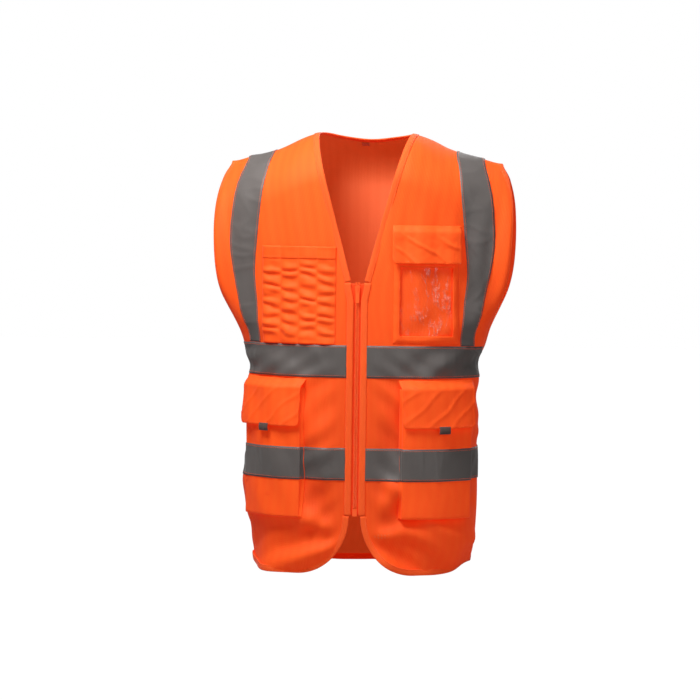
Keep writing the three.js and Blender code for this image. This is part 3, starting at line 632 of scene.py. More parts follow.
def start_material(name, sockets):
    """A new material with its Principled shader's constant sockets set."""
    made = bpy.data.materials.new(name)
    made.use_nodes = True
    shader = made.node_tree.nodes["Principled BSDF"]
    for label, value in sockets.items():
        shader.inputs[label].default_value = value
    return made, Wires(made.node_tree), shader


def placed_group(w, group, values):
    made = w.node("ShaderNodeGroup", node_tree=group)
    for label, value in values.items():
        if isinstance(value, (int, float)):
            made.inputs[label].default_value = value
        else:
            w.join(value, made.inputs[label])
    return made


def linear(colour):
    """A screen colour, 0 to 255, as the shader's own numbers."""
    return tuple((c / 255) ** 2.2 for c in colour) + (1.0,)


def bump(w, shader, height, distance):
    made = w.node("ShaderNodeBump")
    made.inputs["Distance"].default_value = distance
    w.join(height, made.inputs["Height"])
    w.join(made.outputs["Normal"], shader.inputs["Normal"])


# GLOW is a painted glow: an emission that brightens the orange whatever the light, standing in for
# its fluorescence
GLOW = (1.0, 0.015, 0.0, 1.0)
GLOW_STRENGTH = 0.33
# painted shade: the colour and the loss of glow that the fronts take where their shade attribute is
# full
PAINTED_SHADE_KNIT = (0.5, 0.03, 0.0005, 1)
PAINTED_SHADE_GLOW_LOSS = 0.3


def cloth_places(w, broad):
    """The piece's own cloth coordinates, and the wear masks at its place."""
    uv = w.node("ShaderNodeUVMap", uv_map="cloth").outputs[0]
    place = w.node("ShaderNodeTexCoord").outputs["Object"]
    return uv, placed_group(w, GROUPS["wear"], {"Place": place, "Broad": broad})


def knit_material(name, colour, deep, wales, depth, glow=GLOW, strength=GLOW_STRENGTH,
                  painted_shade_amount=0.0):
    """Fluorescent knitted cloth. Its fluorescence is a painted glow, an emission that shines
    whatever the light; on the fronts, painted shade from an attribute darkens its colour and glow.
    """
    made, w, shader = start_material(name, {
        "Roughness": 0.7, "Sheen Weight": 0.04, "Sheen Roughness": 0.5,
        "Specular IOR Level": 0.3, "Emission Color": glow, "Emission Strength": strength,
    })
    uv, wear = cloth_places(w, 7.0)
    knit = placed_group(w, GROUPS["knit"], {"Cloth": uv, "Wales": wales})
    ribs = w.math("MULTIPLY", w.wave(uv, "X", 19.0, 0.6), 0.5)
    dyed = w.mix_colour(w.math("MULTIPLY", w.math("ADD", wear.outputs["Dye"], ribs), 0.5),
                        colour, deep)
    eyes = w.math("MULTIPLY", knit.outputs["Eyes"], 0.35)
    cloth = w.mix_colour(eyes, dyed, deep)
    # painted shade: the fronts' shade attribute darkens the knit's colour and dims its glow
    if painted_shade_amount:
        painted_shade = w.node("ShaderNodeAttribute", attribute_name="painted_shade").outputs["Fac"]
        cloth = w.mix_colour(w.math("MULTIPLY", painted_shade, painted_shade_amount), cloth, PAINTED_SHADE_KNIT)
        dulled = w.math("MULTIPLY", painted_shade, PAINTED_SHADE_GLOW_LOSS)
        w.join(w.mix_colour(dulled, glow, (0.0, 0.0, 0.0, 1)), shader.inputs["Emission Color"])
    w.join(cloth, shader.inputs["Base Color"])
    height = w.math("ADD", knit.outputs["Height"],
                    w.math("MULTIPLY", wear.outputs["Fuzz"], 0.35))
    bump(w, shader, height, depth)
    return made


def tape_material():
    """Grey retroreflective tape: fine beads in a woven ground, dulled in places."""
    made, w, shader = start_material("reflective_tape", {
        "Specular IOR Level": 0.5, "Sheen Weight": 0.15,
    })
    uv, wear = cloth_places(w, 14.0)
    weave = w.math("MULTIPLY", w.wave(uv, "X", 260.0), w.wave(uv, "Y", 260.0))
    shade = w.math("ADD", w.math("MULTIPLY", wear.outputs["Dye"], 0.7),
                   w.math("MULTIPLY", wear.outputs["Fuzz"], 0.3))
    base = w.mix_colour(shade, (0.085, 0.072, 0.066, 1), (0.15, 0.132, 0.124, 1))
    w.join(base, shader.inputs["Base Color"])
    w.join(w.math("ADD", w.math("MULTIPLY", wear.outputs["Fuzz"], 0.2), 0.42),
           shader.inputs["Roughness"])
    w.join(w.math("MULTIPLY", weave, 0.25), shader.inputs["Metallic"])
    bump(w, shader, w.math("ADD", weave, wear.outputs["Fuzz"]), 0.06 * MM)
    return made


def webbing_material(name, colour, deep, scale, roughness=0.75, glow=0.0):
    """Woven narrow cloth: bindings, zip tape, tabs, label and thread."""
    made, w, shader = start_material(name, {
        "Sheen Weight": 0.15, "Sheen Roughness": 0.4, "Specular IOR Level": 0.2,
        # glow is a painted glow: an emission that brightens the cloth whatever the light
        "Emission Color": GLOW, "Emission Strength": glow,
    })
    uv, wear = cloth_places(w, 20.0)
    weave = w.math("MULTIPLY", w.wave(uv, "X", scale), w.wave(uv, "Y", scale * 0.8))
    shade = w.math("ADD", w.math("MULTIPLY", weave, 0.55),
                   w.math("MULTIPLY", wear.outputs["Dye"], 0.45))
    w.join(w.mix_colour(shade, deep, colour), shader.inputs["Base Color"])
    w.join(w.math("ADD", w.math("MULTIPLY", wear.outputs["Fuzz"], 0.15), roughness - 0.07),
           shader.inputs["Roughness"])
    bump(w, shader, weave, 0.12 * MM)
    return made


def moulded_material(name, colour, deep):
    """Dyed moulded plastic with a faint grain and scuffed patches."""
    made, w, shader = start_material(name, {
        # the emission is a painted glow that brightens the plastic whatever the light
        "Specular IOR Level": 0.5, "Emission Color": GLOW, "Emission Strength": 0.25})
    place = w.node("ShaderNodeTexCoord").outputs["Object"]
    wear = placed_group(w, GROUPS["wear"], {"Place": place, "Broad": 90.0})
    w.join(w.mix_colour(wear.outputs["Dye"], deep, colour), shader.inputs["Base Color"])
    w.join(w.math("ADD", w.math("MULTIPLY", wear.outputs["Dye"], 0.2), 0.25),
           shader.inputs["Roughness"])
    bump(w, shader, wear.outputs["Fuzz"], 0.03 * MM)
    return made


def fleece_material():
    """Hook and loop: a dense pile of tiny bristles."""
    made, w, shader = start_material("hook_and_loop", {
        "Roughness": 0.95, "Sheen Weight": 0.5, "Specular IOR Level": 0.15,
    })
    place = w.node("ShaderNodeTexCoord").outputs["Object"]
    pile = w.noise(place, 1500.0, 3.0, 0.8)
    w.join(w.mix_colour(pile, linear((150, 34, 6)), linear((246, 96, 40))),
           shader.inputs["Base Color"])
    bump(w, shader, pile, 0.5 * MM)
    return made


def film_material():
    """Clear soft vinyl: nearly unseen but for a faint cloudiness and painted glints, bright crease
    lines made opaque in its alpha.
    """
    made, w, shader = start_material("clear_pvc", {
        "Base Color": (0.8, 0.24, 0.13, 1), "IOR": 1.5, "Specular IOR Level": 0.9,
        "Roughness": 0.12,
    })
    place = w.node("ShaderNodeTexCoord").outputs["Object"]
    stretched = w.node("ShaderNodeVectorMath", operation="MULTIPLY")
    stretched.inputs[1].default_value = (1.0, 1.0, 0.28)
    w.join(place, stretched.inputs[0])
    folds = w.noise(stretched.outputs[0], 60.0, 3.0, 0.55)
    line = w.math("ABSOLUTE", w.math("SUBTRACT", folds, 0.5))
    line = w.math("SUBTRACT", 1.0, w.math("MULTIPLY", line, 18.0), clamp=True)
    patches = w.math("MULTIPLY", w.math("SUBTRACT", w.noise(place, 36.0, 2.0), 0.42), 4.0,
                     clamp=True)
    # painted glints: crease lines within the patches are made opaque, so the film's pale colour
    # shows as highlights
    glint_alpha = w.math("ADD", w.math("MULTIPLY", w.math("MULTIPLY", line, patches), 0.3), 0.01)
    w.join(glint_alpha, shader.inputs["Alpha"])
    bump(w, shader, folds, 0.8 * MM)
    return made


GROUPS = {}
MATERIALS = {}


def make_materials():
    GROUPS["knit"] = knit_group()
    GROUPS["wear"] = wear_group()
    bright, deep = (0.84, 0.128, 0.008, 1), (0.78, 0.082, 0.003, 1)
    MATERIALS.update({
        "knit": knit_material("orange_knit", bright, deep, 420.0, 0.16 * MM),
        # the fronts' knit takes painted shade from their shade attribute
        "knit_front": knit_material("orange_front_knit", bright, deep, 420.0, 0.16 * MM,
                                    painted_shade_amount=0.5),
        # the inner faces get a yellower painted glow of their own, which lights them in their shade
        "knit_inside": knit_material("orange_knit_inside", (0.7, 0.14, 0.045, 1),
                                     (0.62, 0.11, 0.03, 1), 420.0, 0.16 * MM,
                                     (1.0, 0.12, 0.02, 1.0), 0.19),
        "pocket_knit": knit_material("orange_pocket_knit", bright, deep, 420.0, 0.14 * MM),
        "binding": webbing_material("orange_binding", (0.9, 0.15, 0.03, 1),
                                    (0.8, 0.1, 0.012, 1), 330.0, glow=0.2),
        "thread": webbing_material("orange_thread", (0.9, 0.15, 0.03, 1),
                                   (0.8, 0.1, 0.012, 1), 900.0, 0.6, GLOW_STRENGTH),
        "tape": tape_material(),
        "zip_cloth": webbing_material("zip_cloth", (0.7, 0.075, 0.01, 1),
                                      (0.6, 0.045, 0.004, 1), 420.0, glow=0.28),
        "zip_plastic": moulded_material("zip_plastic", (0.9, 0.16, 0.03, 1),
                                        (0.8, 0.1, 0.015, 1)),
        "fleece": fleece_material(),
        "film": film_material(),
        "webbing": webbing_material("tab_webbing", linear((124, 104, 98)),
                                    linear((66, 52, 48)), 420.0),
        "label": webbing_material("label_cloth", (0.8, 0.3, 0.19, 1),
                                  (0.7, 0.24, 0.14, 1), 600.0),
    })


# ---- pieces ----------------------------------------------------------------------------------

PANEL_CELL = 4.2 * MM
PANEL_LENGTH = 0.72
PANEL_ROWS = int(PANEL_LENGTH / PANEL_CELL)
SETTLING_ROUNDS = 8  # x and z depend on each other, so a place is found by repeating


def paint_fold_shade(obj):
    """Paints an attribute of painted shade that darkens the fronts towards the waist and in their
    folds.
    """
    mesh = obj.data
    spot = np.empty(len(mesh.vertices) * 3)
    mesh.vertices.foreach_get("co", spot)
    spot = spot.reshape(-1, 3)
    # painted shade: deeper in the drape's valleys and over the lower fronts, fading near the hem
    valley = smooth(-drape(spot), -3 * MM, 4 * MM)
    lower = smooth(-spot[:, 2], 0.12, 0.5) * smooth(-spot[:, 1], 0.0, 0.05)
    lower *= 1 - 0.7 * smooth(-spot[:, 2], 0.55, 0.66)
    painted_shade = np.clip(lower * (0.45 + 0.55 * valley), 0, 1)
    layer = mesh.attributes.new("painted_shade", "FLOAT", "POINT")
    layer.data.foreach_set("value", painted_shade.astype(np.float32))


def front_panel(word, hand, material):
    rows, columns = PANEL_ROWS, 50
    down, across = grid(rows, columns)
    x = np.full(len(down), 0.1)
    for _ in range(SETTLING_ROUNDS):
        last = distance_of(shoulder_line(x) - front_hem_z(x))
        distance = down * last
        z = shoulder_line(x) - drop_of(distance)
        width = half_width(z)
        inner = np.maximum(FACING_OUTER_X - 1.5 * MM, neck_edge_x(z))
        x = width * np.sin(mix(np.arcsin(inner / width), math.pi / 2, across))
    z = shoulder_line(x) - drop_of(distance)
    share = np.clip(hand * x / half_width(z), -1, 1)
    points, normals = on_cloth(FRONT, share, distance)
    obj = cloth_sheet(f"front_{word}", points, normals, rows, columns, CLOTH, material,
                      inside=MATERIALS["knit_inside"])
    paint_fold_shade(obj)
    worn_as(obj, "vest", f"front_panel_{word}")


def back_panel(material):
    rows, columns = PANEL_ROWS, 100
    down, across = grid(rows, columns)
    turn = (2 * across - 1) * math.pi / 2
    x = np.sin(turn) * 0.2
    for _ in range(SETTLING_ROUNDS):
        first = back_neck_distance(x)
        last = distance_of(shoulder_line(np.abs(x)) - hem_z(x))
        distance = mix(first, last, down)
        z = shoulder_line(np.abs(x)) - drop_of(distance)
        x = half_width(z) * np.sin(turn)
    z = shoulder_line(np.abs(x)) - drop_of(distance)
    share = np.clip(x / half_width(z), -1, 1)
    points, normals = on_cloth(BACK, share, distance)
    obj = cloth_sheet("back", points, normals, rows, columns, CLOTH, material,
                      inside=MATERIALS["knit_inside"])
    worn_as(obj, "vest", "back_panel")


def bound_edge(name, path, normals, towards, node, material, closed=False):
    """A binding folded round an edge, and the stitching that holds it."""
    width, thickness = 8.5 * MM, 2.4 * MM
    outward, inward = edge_frames(path, normals, towards, closed)
    middle = path + outward * CLOTH / 2
    obj = swept(name, middle, outward, inward, folded_strip(width, thickness), material, closed)
    worn_as(obj, "vest", node)
    line = middle + inward * width * 0.78 + outward * thickness * 0.36
    return line, outward


def surface_path(pieces):
    """Joins (side, share, distance) runs into points with their outward directions."""
    found = [on_cloth(side, share, distance) for side, share, distance in pieces]
    return np.concatenate([p for p, _ in found]), np.concatenate([n for _, n in found])


def even_path(points, normals, spacing, closed=False):
    """The path at even spacing, with its outward directions carried along."""
    line = np.concatenate([points, points[:1]]) if closed else points
    out = np.concatenate([normals, normals[:1]]) if closed else normals
    at = distance_along(line)
    wanted = np.linspace(0, at[-1], max(3, int(at[-1] / spacing)) + 1)
    if closed:
        wanted = wanted[:-1]
    pick = lambda values: np.stack([np.interp(wanted, at, values[:, k]) for k in range(3)], axis=1)
    return pick(line), unit(pick(out))


BINDING_STEP = 3.2 * MM


def neck_edge():
    z = np.linspace(V_BOTTOM_Z + 1 * MM, -0.4 * MM, 120)
    x = neck_edge_x(z)
    distance = distance_of(shoulder_line(x) - z)
    share = x / half_width(z)
    turn = np.linspace(-math.pi / 2, math.pi / 2, 90)[1:-1]
    back_x = NECK_HALF_WIDTH * np.sin(turn)
    back_distance = back_neck_distance(back_x)
    back_z = -drop_of(back_distance)
    points, normals = surface_path([
        (FRONT, -share, distance),
        (BACK, back_x / half_width(back_z), back_distance),
        (FRONT, share[::-1], distance[::-1]),
    ])
    points, normals = even_path(points, normals, BINDING_STEP)
    centre = np.array([0.0, -0.03, 0.06])
    return points, normals, points - centre


def armhole_edge(hand):
    turn = np.linspace(0, 2 * math.pi, 260)[:-1]
    tip = float(shoulder_line(SHOULDER_TIP_X))
    z = mix(UNDERARM_Z, tip, (1 - np.cos(turn)) / 2)
    distance = distance_of(np.maximum(0, shoulder_line(half_width(z)) - z))
    front = turn < math.pi
    share = np.full(len(z), hand * 0.9999)
    pf, nf = on_cloth(FRONT, share[front], distance[front])
    pb, nb = on_cloth(BACK, share[~front], distance[~front])
    points, normals = np.concatenate([pf, pb]), np.concatenate([nf, nb])
    points, normals = even_path(points, normals, BINDING_STEP, closed=True)
    towards = points - np.array([0, 0, (UNDERARM_Z + tip) / 2])
    towards[:, 0] = -hand * 0.2
    return points, normals, towards


def hem_edge():
    turn = np.linspace(0.0, math.pi / 2, 60)
    corner_x = HEM_CORNER_X + HEM_CORNER_WIDTH * (1 - np.cos(turn))
    corner_z = front_hem_z(corner_x)
    width = float(half_width(HEM_Z))
    start = math.asin((HEM_CORNER_X + HEM_CORNER_WIDTH) / width)
    front_turn = np.linspace(start, math.pi / 2, 60)[1:]
    x = np.concatenate([corner_x, width * np.sin(front_turn)])
    z = np.concatenate([corner_z, hem_z(x[len(corner_z):])])
    distance = distance_of(shoulder_line(x) - z)
    share = np.clip(x / half_width(z), -1, 1)
    share[-1] = 1
    back_turn = np.linspace(math.pi / 2, -math.pi / 2, 150)[1:-1]
    back_x = width * np.sin(back_turn)
    back_distance = distance_of(shoulder_line(np.abs(back_x)) - hem_z(back_x))
    points, normals = surface_path([
        (FRONT, share, distance),
        (BACK, np.sin(back_turn), back_distance),
        (FRONT, -share[::-1], distance[::-1]),
    ])
    points, normals = even_path(points, normals, BINDING_STEP)
    return points, normals


def hem_inward(points):
    """Into the cloth from the hem: up, and away from the zip along the rounded corners."""
    corner = np.clip((HEM_CORNER_WIDTH - np.abs(points[:, 0])) / HEM_CORNER_WIDTH, 0, 1)
    towards = np.zeros_like(points)
    towards[:, 2] = 1
    front = points[:, 1] < 0
    towards[front, 0] = (np.sign(points[:, 0]) * corner * 3)[front]
    return towards


def tape_strip(name, place, rows, columns, node, creases):
    """A strip of reflective tape. place gives x and z, or share and distance, at its corners."""
    down, across = grid(rows, columns)
    points, normals = place(down, across)
    crease = ridges(noise_at(points, creases, 11), 3.0)
    waver = noise_at(points, (60, 60, 30), 12)
    points = points + normals * (0.8 * MM * crease + 0.3 * MM * (waver + 1))[:, None]
    obj = cloth_sheet(name, points, normals, rows, columns, TAPE, MATERIALS["tape"])
    worn_as(obj, "vest", node)
    return points + normals * TAPE, normals, rows, columns


def strip_edges(strip, inset_share, along_rows):
    """The two lines of stitching along the long edges of a strip."""
    rows, columns = strip[2:]
    p, n = strip_grids(strip)
    lines = []
    for share in (inset_share, 1 - inset_share):
        if along_rows:
            at = share * rows
            k = min(int(at), rows - 1)
            lines.append((mix(p[k], p[k + 1], at - k), n[k]))
        else:
            at = share * columns
            k = min(int(at), columns - 1)
            lines.append((mix(p[:, k], p[:, k + 1], at - k), n[:, k]))
    return lines


def shoulder_tape(word, hand):
    foot = CHEST_BAND_TOP + 0.5 * MM

    def place(down, across):
        signed = 2 * down - 1
        x = np.full(len(down), 0.16)
        for _ in range(SETTLING_ROUNDS):
            distance = np.abs(signed) * distance_of(shoulder_line(x) - foot)
            z = shoulder_line(x) - drop_of(distance)
            x = mix(band_inner_x(z), band_outer_x(z), across)
        z = shoulder_line(x) - drop_of(distance)
        share = hand * x / half_width(z)
        points = np.zeros((len(down), 3))
        normals = np.zeros((len(down), 3))
        for side, chosen in ((FRONT, signed < 0), (BACK, signed >= 0)):
            points[chosen], normals[chosen] = on_cloth(
                side, share[chosen], distance[chosen], TAPE_LIFT)
        return points, normals

    return tape_strip(f"tape_shoulder_{word}", place, 220, 14, f"shoulder_band_{word}",
                      (24, 24, 42))


def level_tape(name, side, top, start_of, end_of, columns, node):
    def place(down, across):
        z = top - down * TAPE_WIDTH
        width = half_width(z)
        x = width * np.sin(mix(start_of(z, width), end_of(z, width), across))
        return on_body(side, x, z, TAPE_LIFT)

    return tape_strip(name, place, 16, columns, node, (52, 52, 9))


def side_angle(z, _width):
    """Where the tape ends at the side: at the side seam, or short of the armhole's binding."""
    short = smooth(z, UNDERARM_Z - 4 * MM, UNDERARM_Z + 2 * MM) * 0.12
    return math.pi / 2 - 0.012 - short


# ---- lower pockets ---------------------------------------------------------------------------

POCKET_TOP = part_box("pocket_flap_left")[1].z
POCKET_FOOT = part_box("pocket_bag_left")[0].z
POCKET_X = {"right": (80 * MM, 172 * MM), "left": (67 * MM, 169 * MM)}
POCKET_SIDE_DEPTH = 11 * MM
POCKET_MIDDLE_ROOM = 10.6 * MM
FLAP_DROP = POCKET_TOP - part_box("pocket_flap_left")[0].z
FLAP_CLEAR = 2.45 * MM
FLAP_OVER = 3 * MM


class Pocket:
    """A lower pocket's straight line in plan, and its face."""

    def __init__(self, word, hand):
        self.word, self.hand = word, hand
        inner, outer = POCKET_X[word]
        self.inner, self.outer = hand * inner, hand * outer
        middle = (POCKET_TOP + POCKET_FOOT) / 2
        ends, _ = on_body(FRONT, [self.inner, self.outer, (self.inner + self.outer) / 2],
                          [middle] * 3, 0, fall=False)
        self.start = ends[0]
        self.width = float(np.linalg.norm(ends[1] - ends[0]))
        self.along = (ends[1] - ends[0]) / self.width
        self.out = np.array([self.along[1], -self.along[0], 0]) * hand
        self.bulge = float((ends[2] - ends[0]) @ self.out)

    def face_depth(self, share):
        arc = 1 - (2 * np.clip(share, 0, 1) - 1) ** 2
        return mix(POCKET_SIDE_DEPTH, self.bulge + 1 * MM + POCKET_MIDDLE_ROOM, arc)

    def face(self, share, z, lift=0.0):
        """Points on the slack face of the pocket."""
        share, z = np.broadcast_arrays(np.asarray(share, float), np.asarray(z, float))
        share, z = share.ravel(), z.ravel()
        points = self.start + np.outer(share * self.width, self.along)
        points[:, 2] = z
        seed = 20 + self.hand
        slack = 1.5 * MM * noise_at(points, (22, 22, 12), seed)
        slack += 0.6 * MM * noise_at(points, (60, 60, 34), seed + 3)
        fold = np.sin((share * 1.4 * self.hand + (z - POCKET_FOOT) * 9) * 7)
        slack += 1.0 * MM * fold * smooth(share * (1 - share), 0, 0.16)
        slack -= 1.6 * MM * np.exp(-((z - WAIST_BAND_TOP + TAPE_WIDTH / 2) / 0.05) ** 2) * 0.5
        depth = self.face_depth(share) + slack + lift
        return points + self.out * depth[:, None]

    def turned(self, share):
        """Outward directions of the face."""
        share = np.asarray(share, float).ravel()
        tick = 0.01
        slope = (self.face_depth(share + tick) - self.face_depth(share - tick)) / (
            2 * tick * self.width)
        return unit(self.out - slope[:, None] * self.along)


BAG_CLOTH = 0.8 * MM
BAG_MOUTH_DROP = 13 * MM
BAG_FACE_SHARE = 0.91


def pocket_bag(pocket):
    """Face, folded gussets and foot in one sheet, sewn to the front round three sides."""
    rows, columns = 70, 64
    gusset = 0.13
    top = POCKET_TOP - BAG_MOUTH_DROP
    down, across = grid(rows, columns)
    left = np.clip(across / gusset, 0, 1)
    right = np.clip((1 - across) / gusset, 0, 1)
    foot = np.clip((1 - down) / (1 - BAG_FACE_SHARE), 0, 1)
    level = np.minimum(np.minimum(left, right), foot)
    share = np.clip((across - gusset) / (1 - 2 * gusset), 0, 1)
    pleat = 3.2 * MM / pocket.width
    share = share + pleat * np.sin(math.pi * left) - pleat * np.sin(math.pi * right)
    z = mix(top, POCKET_FOOT, np.clip(down / BAG_FACE_SHARE, 0, 1))
    z = z + 2.2 * MM * np.sin(math.pi * foot) * (foot < 1)
    x = mix(pocket.inner, pocket.outer, np.clip(share, 0, 1))
    back, _ = on_body(FRONT, x, z, CLOTH)
    face = pocket.face(share, z)
    points = back + (face - back) * level[:, None]
    points = relax(points, rows, columns, 3)
    normals = grid_normals(points, rows, columns, pocket.out)
    obj = cloth_sheet(f"pocket_{pocket.word}", points, normals, rows, columns, BAG_CLOTH,
                      MATERIALS["pocket_knit"])
    worn_as(obj, "vest", f"pocket_bag_{pocket.word}")
    return points + normals * BAG_CLOTH, normals, rows, columns


def bag_tape(pocket, bag):
    """Tape across the bag's face and round its gussets, to meet the tape on the front."""
    rows, columns = bag[2:]
    p, n = strip_grids(bag)
    top = POCKET_TOP - BAG_MOUTH_DROP
    per_metre = rows * BAG_FACE_SHARE / (top - POCKET_FOOT)
    first = (top - WAIST_BAND_TOP) * per_metre
    strip_rows, inset = 14, 1
    wanted = np.linspace(first, first + TAPE_WIDTH * per_metre, strip_rows + 1)
    low = np.floor(wanted).astype(int)
    part = (wanted - low)[:, None, None]
    p, n = p[:, inset:-inset], n[:, inset:-inset]
    centre = mix(p[low], p[low + 1], part).reshape(-1, 3)
    out = unit(mix(n[low], n[low + 1], part).reshape(-1, 3))
    crease = ridges(noise_at(centre, (52, 52, 9), 31), 3.0)
    centre = centre + out * (0.25 * MM + 0.7 * MM * crease)[:, None]
    strip_columns = columns - 2 * inset
    obj = cloth_sheet(f"tape_pocket_{pocket.word}", centre, out, strip_rows, strip_columns,
                      TAPE, MATERIALS["tape"])
    worn_as(obj, "vest", f"pocket_band_{pocket.word}")
    return centre + out * TAPE, out, strip_rows, strip_columns


def relax(points, rows, columns, passes):
    """Rounds the folds of a sheet and keeps its edges."""
    p = laid_out(points, rows, columns).copy()
    for _ in range(passes):
        inner = (p[:-2, 1:-1] + p[2:, 1:-1] + p[1:-1, :-2] + p[1:-1, 2:]) / 4
        p[1:-1, 1:-1] = mix(p[1:-1, 1:-1], inner, 0.6)
    return p.reshape(-1, 3)


def grid_normals(points, rows, columns, outward):
    p = laid_out(points, rows, columns)
    normal = unit(np.cross(np.gradient(p, axis=0), np.gradient(p, axis=1)).reshape(-1, 3))
    if (normal @ np.asarray(outward)).sum() < 0:
        normal = -normal
    return normal


def face_sheet(pocket, name, inset, top, foot, lift):
    """A strip of hook or loop on the pocket's face."""
    rows, columns = 8, 40
    down, across = grid(rows, columns)
    share, z = mix(inset, 1 - inset, across), mix(top, foot, down)
    return cloth_sheet(name, pocket.face(share, z, lift), pocket.turned(share), rows, columns,
                       0.6 * MM, MATERIALS["fleece"])


def flap_shape(down, across, foot_round):
    """Share down the flap, shortened at its rounded lower corners."""
    edge = np.clip((np.abs(2 * across - 1) - (1 - foot_round)) / foot_round, 0, 1)
    lift = 0.11 * (1 - np.sqrt(1 - edge ** 2))
    return down * (1 - lift)


def flap_points(pocket, down, across):
    """Corners of a lower pocket's flap."""
    fallen = flap_shape(down, across, 0.12)
    over = FLAP_OVER / pocket.width
    share = mix(-over, 1 + over, across)
    z = POCKET_TOP - fallen * FLAP_DROP
    x = mix(pocket.inner, pocket.outer, np.clip(share, 0, 1))
    x = x + pocket.hand * (share - np.clip(share, 0, 1)) * pocket.width * 0.8
    sewn, _ = on_body(FRONT, x, z, CLOTH + 0.4 * MM)
    hung = pocket.face(share, z, FLAP_CLEAR)
    step = smooth(fallen, 0.0, 0.2)
    points = sewn + (hung - sewn) * step[:, None]
    seed = 40 + pocket.hand
    low = smooth(fallen, 0.25, 1)
    bow = 2.2 * MM * noise_at(points, (26, 26, 14), seed) * low
    bow += 1.8 * MM * np.sin(across * math.pi * 2.2 + seed) * low + 4.0 * MM * fallen ** 2
    slant = (across * 1.2 + pocket.hand * fallen * 0.8) * 8 + seed
    crease = ridges(np.sin(slant) + 0.8 * noise_at(points, (22, 22, 26), seed + 5), 1.3)
    bow += 1.3 * MM * crease * smooth(fallen, 0.08, 0.3)
    bow += 0.5 * MM * noise_at(points, (120, 120, 120), seed + 6) * np.exp(
        -((fallen - 0.05) / 0.07) ** 2)
    return points + pocket.out * np.maximum(bow, -0.8 * MM)[:, None]


def pocket_flap(pocket):
    rows, columns = 44, 60
    down, across = grid(rows, columns)
    points = flap_points(pocket, down, across)
    normals = grid_normals(points, rows, columns, pocket.out)
    obj = cloth_sheet(f"flap_{pocket.word}", points, normals, rows, columns, 1.1 * MM,
                      MATERIALS["pocket_knit"])
    worn_as(obj, None, f"pocket_flap_{pocket.word}")
    at = pocket.start + pocket.along * pocket.width / 2
    blend_down(obj, at)
    return points + normals * 1.1 * MM, normals, rows, columns


def blend_down(obj, at):
    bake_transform(obj)


def inset_lines(strip, inset, sides=("left", "right", "foot")):
    """Stitching lines a few cells inside a sheet's edges."""
    rows, columns = strip[2:]
    p, n = strip_grids(strip)
    lines = []
    if "left" in sides:
        lines.append((p[3:rows - inset, inset], n[3:rows - inset, inset]))
    if "right" in sides:
        lines.append((p[3:rows - inset, columns - inset], n[3:rows - inset, columns - inset]))
    if "foot" in sides:
        lines.append((p[rows - inset, inset:columns - inset + 1],
                      n[rows - inset, inset:columns - inset + 1]))
    if "top" in sides:
        lines.append((p[inset, inset:columns - inset + 1], n[inset, inset:columns - inset + 1]))
    return lines


# ---- badge and pen pockets -------------------------------------------------------------------

BADGE_X = (55 * MM, 152 * MM)
BADGE_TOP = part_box("badge_flap")[1].z
BADGE_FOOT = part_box("badge_pocket_frame")[0].z + 2 * MM
BADGE_BORDER = 10 * MM
BADGE_FLAP_DROP = BADGE_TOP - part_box("badge_flap")[0].z
BADGE_WINDOW_TOP = BADGE_TOP - 64 * MM


def solidified(obj, thickness):
    bpy.ops.object.select_all(action="DESELECT")
    obj.select_set(True)
    bpy.context.view_layer.objects.active = obj
    solid = obj.modifiers.new("thickness", "SOLIDIFY")
    solid.thickness = thickness
    solid.offset = 1
    bpy.ops.object.modifier_apply(modifier=solid.name)


BADGE_RAISE = 2.8 * MM


def badge_height(x, z):
    """How far the badge pocket's cloth stands off the front: sewn down at three sides."""
    side = np.minimum(x - BADGE_X[0], BADGE_X[1] - x)
    foot = z - BADGE_FOOT
    return CLOTH + BADGE_RAISE * smooth(np.minimum(side, foot), 0, 6 * MM)


def badge_frame():
    inner = (BADGE_X[0] + BADGE_BORDER, BADGE_X[1] - BADGE_BORDER)
    low = BADGE_FOOT + BADGE_BORDER * 1.2
    xs = np.concatenate([np.linspace(BADGE_X[0], inner[0], 7)[:-1],
                         np.linspace(inner[0], inner[1], 34)[:-1],
                         np.linspace(inner[1], BADGE_X[1], 7)])
    top = BADGE_TOP - 10 * MM
    zs = np.concatenate([np.linspace(top, BADGE_WINDOW_TOP, 20)[:-1],
                         np.linspace(BADGE_WINDOW_TOP, low, 44)[:-1],
                         np.linspace(low, BADGE_FOOT, 8)])
    x, z = np.meshgrid(xs, zs)
    points, normals = on_body(FRONT, x.ravel(), z.ravel(), 0)
    pucker = 0.5 * MM * noise_at(points, (90, 90, 90), 51)
    points = points + normals * (badge_height(x.ravel(), z.ravel()) + pucker)[:, None]
    columns, rows = len(xs) - 1, len(zs) - 1
    faces = []
    middle_x, middle_z = (xs[1:] + xs[:-1]) / 2, (zs[1:] + zs[:-1]) / 2
    for r in range(rows):
        for c in range(columns):
            if inner[0] < middle_x[c] < inner[1] and low < middle_z[r] < BADGE_WINDOW_TOP:
                continue
            a = r * (columns + 1) + c
            faces.append([a, a + columns + 1, a + columns + 2, a + 1])
    uv, flat = lengths_along(points, rows, columns)
    obj = new_mesh_object("badge_frame", points, faces, uv, MATERIALS["pocket_knit"])
    flip_outwards(obj, normals[0])
    solidified(obj, 0.8 * MM)
    worn_as(obj, "vest", "badge_pocket_frame")
    p, n = strip_grids((points + normals * 0.8 * MM, normals, rows, columns))
    left, right, foot = 5, columns - 5, rows - 6
    head = 19
    return [
        (p[head:foot, left], n[head:foot, left]),
        (p[head:foot, right], n[head:foot, right]),
        (p[foot, left:right], n[foot, left:right]),
        (p[2:, 1], n[2:, 1]), (p[2:, columns - 1], n[2:, columns - 1]),
        (p[rows - 1, 1:-1], n[rows - 1, 1:-1]),
    ]


def flip_outwards(obj, outward):
    mesh = obj.data
    normal = mesh.polygons[0].normal
    if normal.dot(Vector(outward)) < 0:
        mesh.flip_normals()


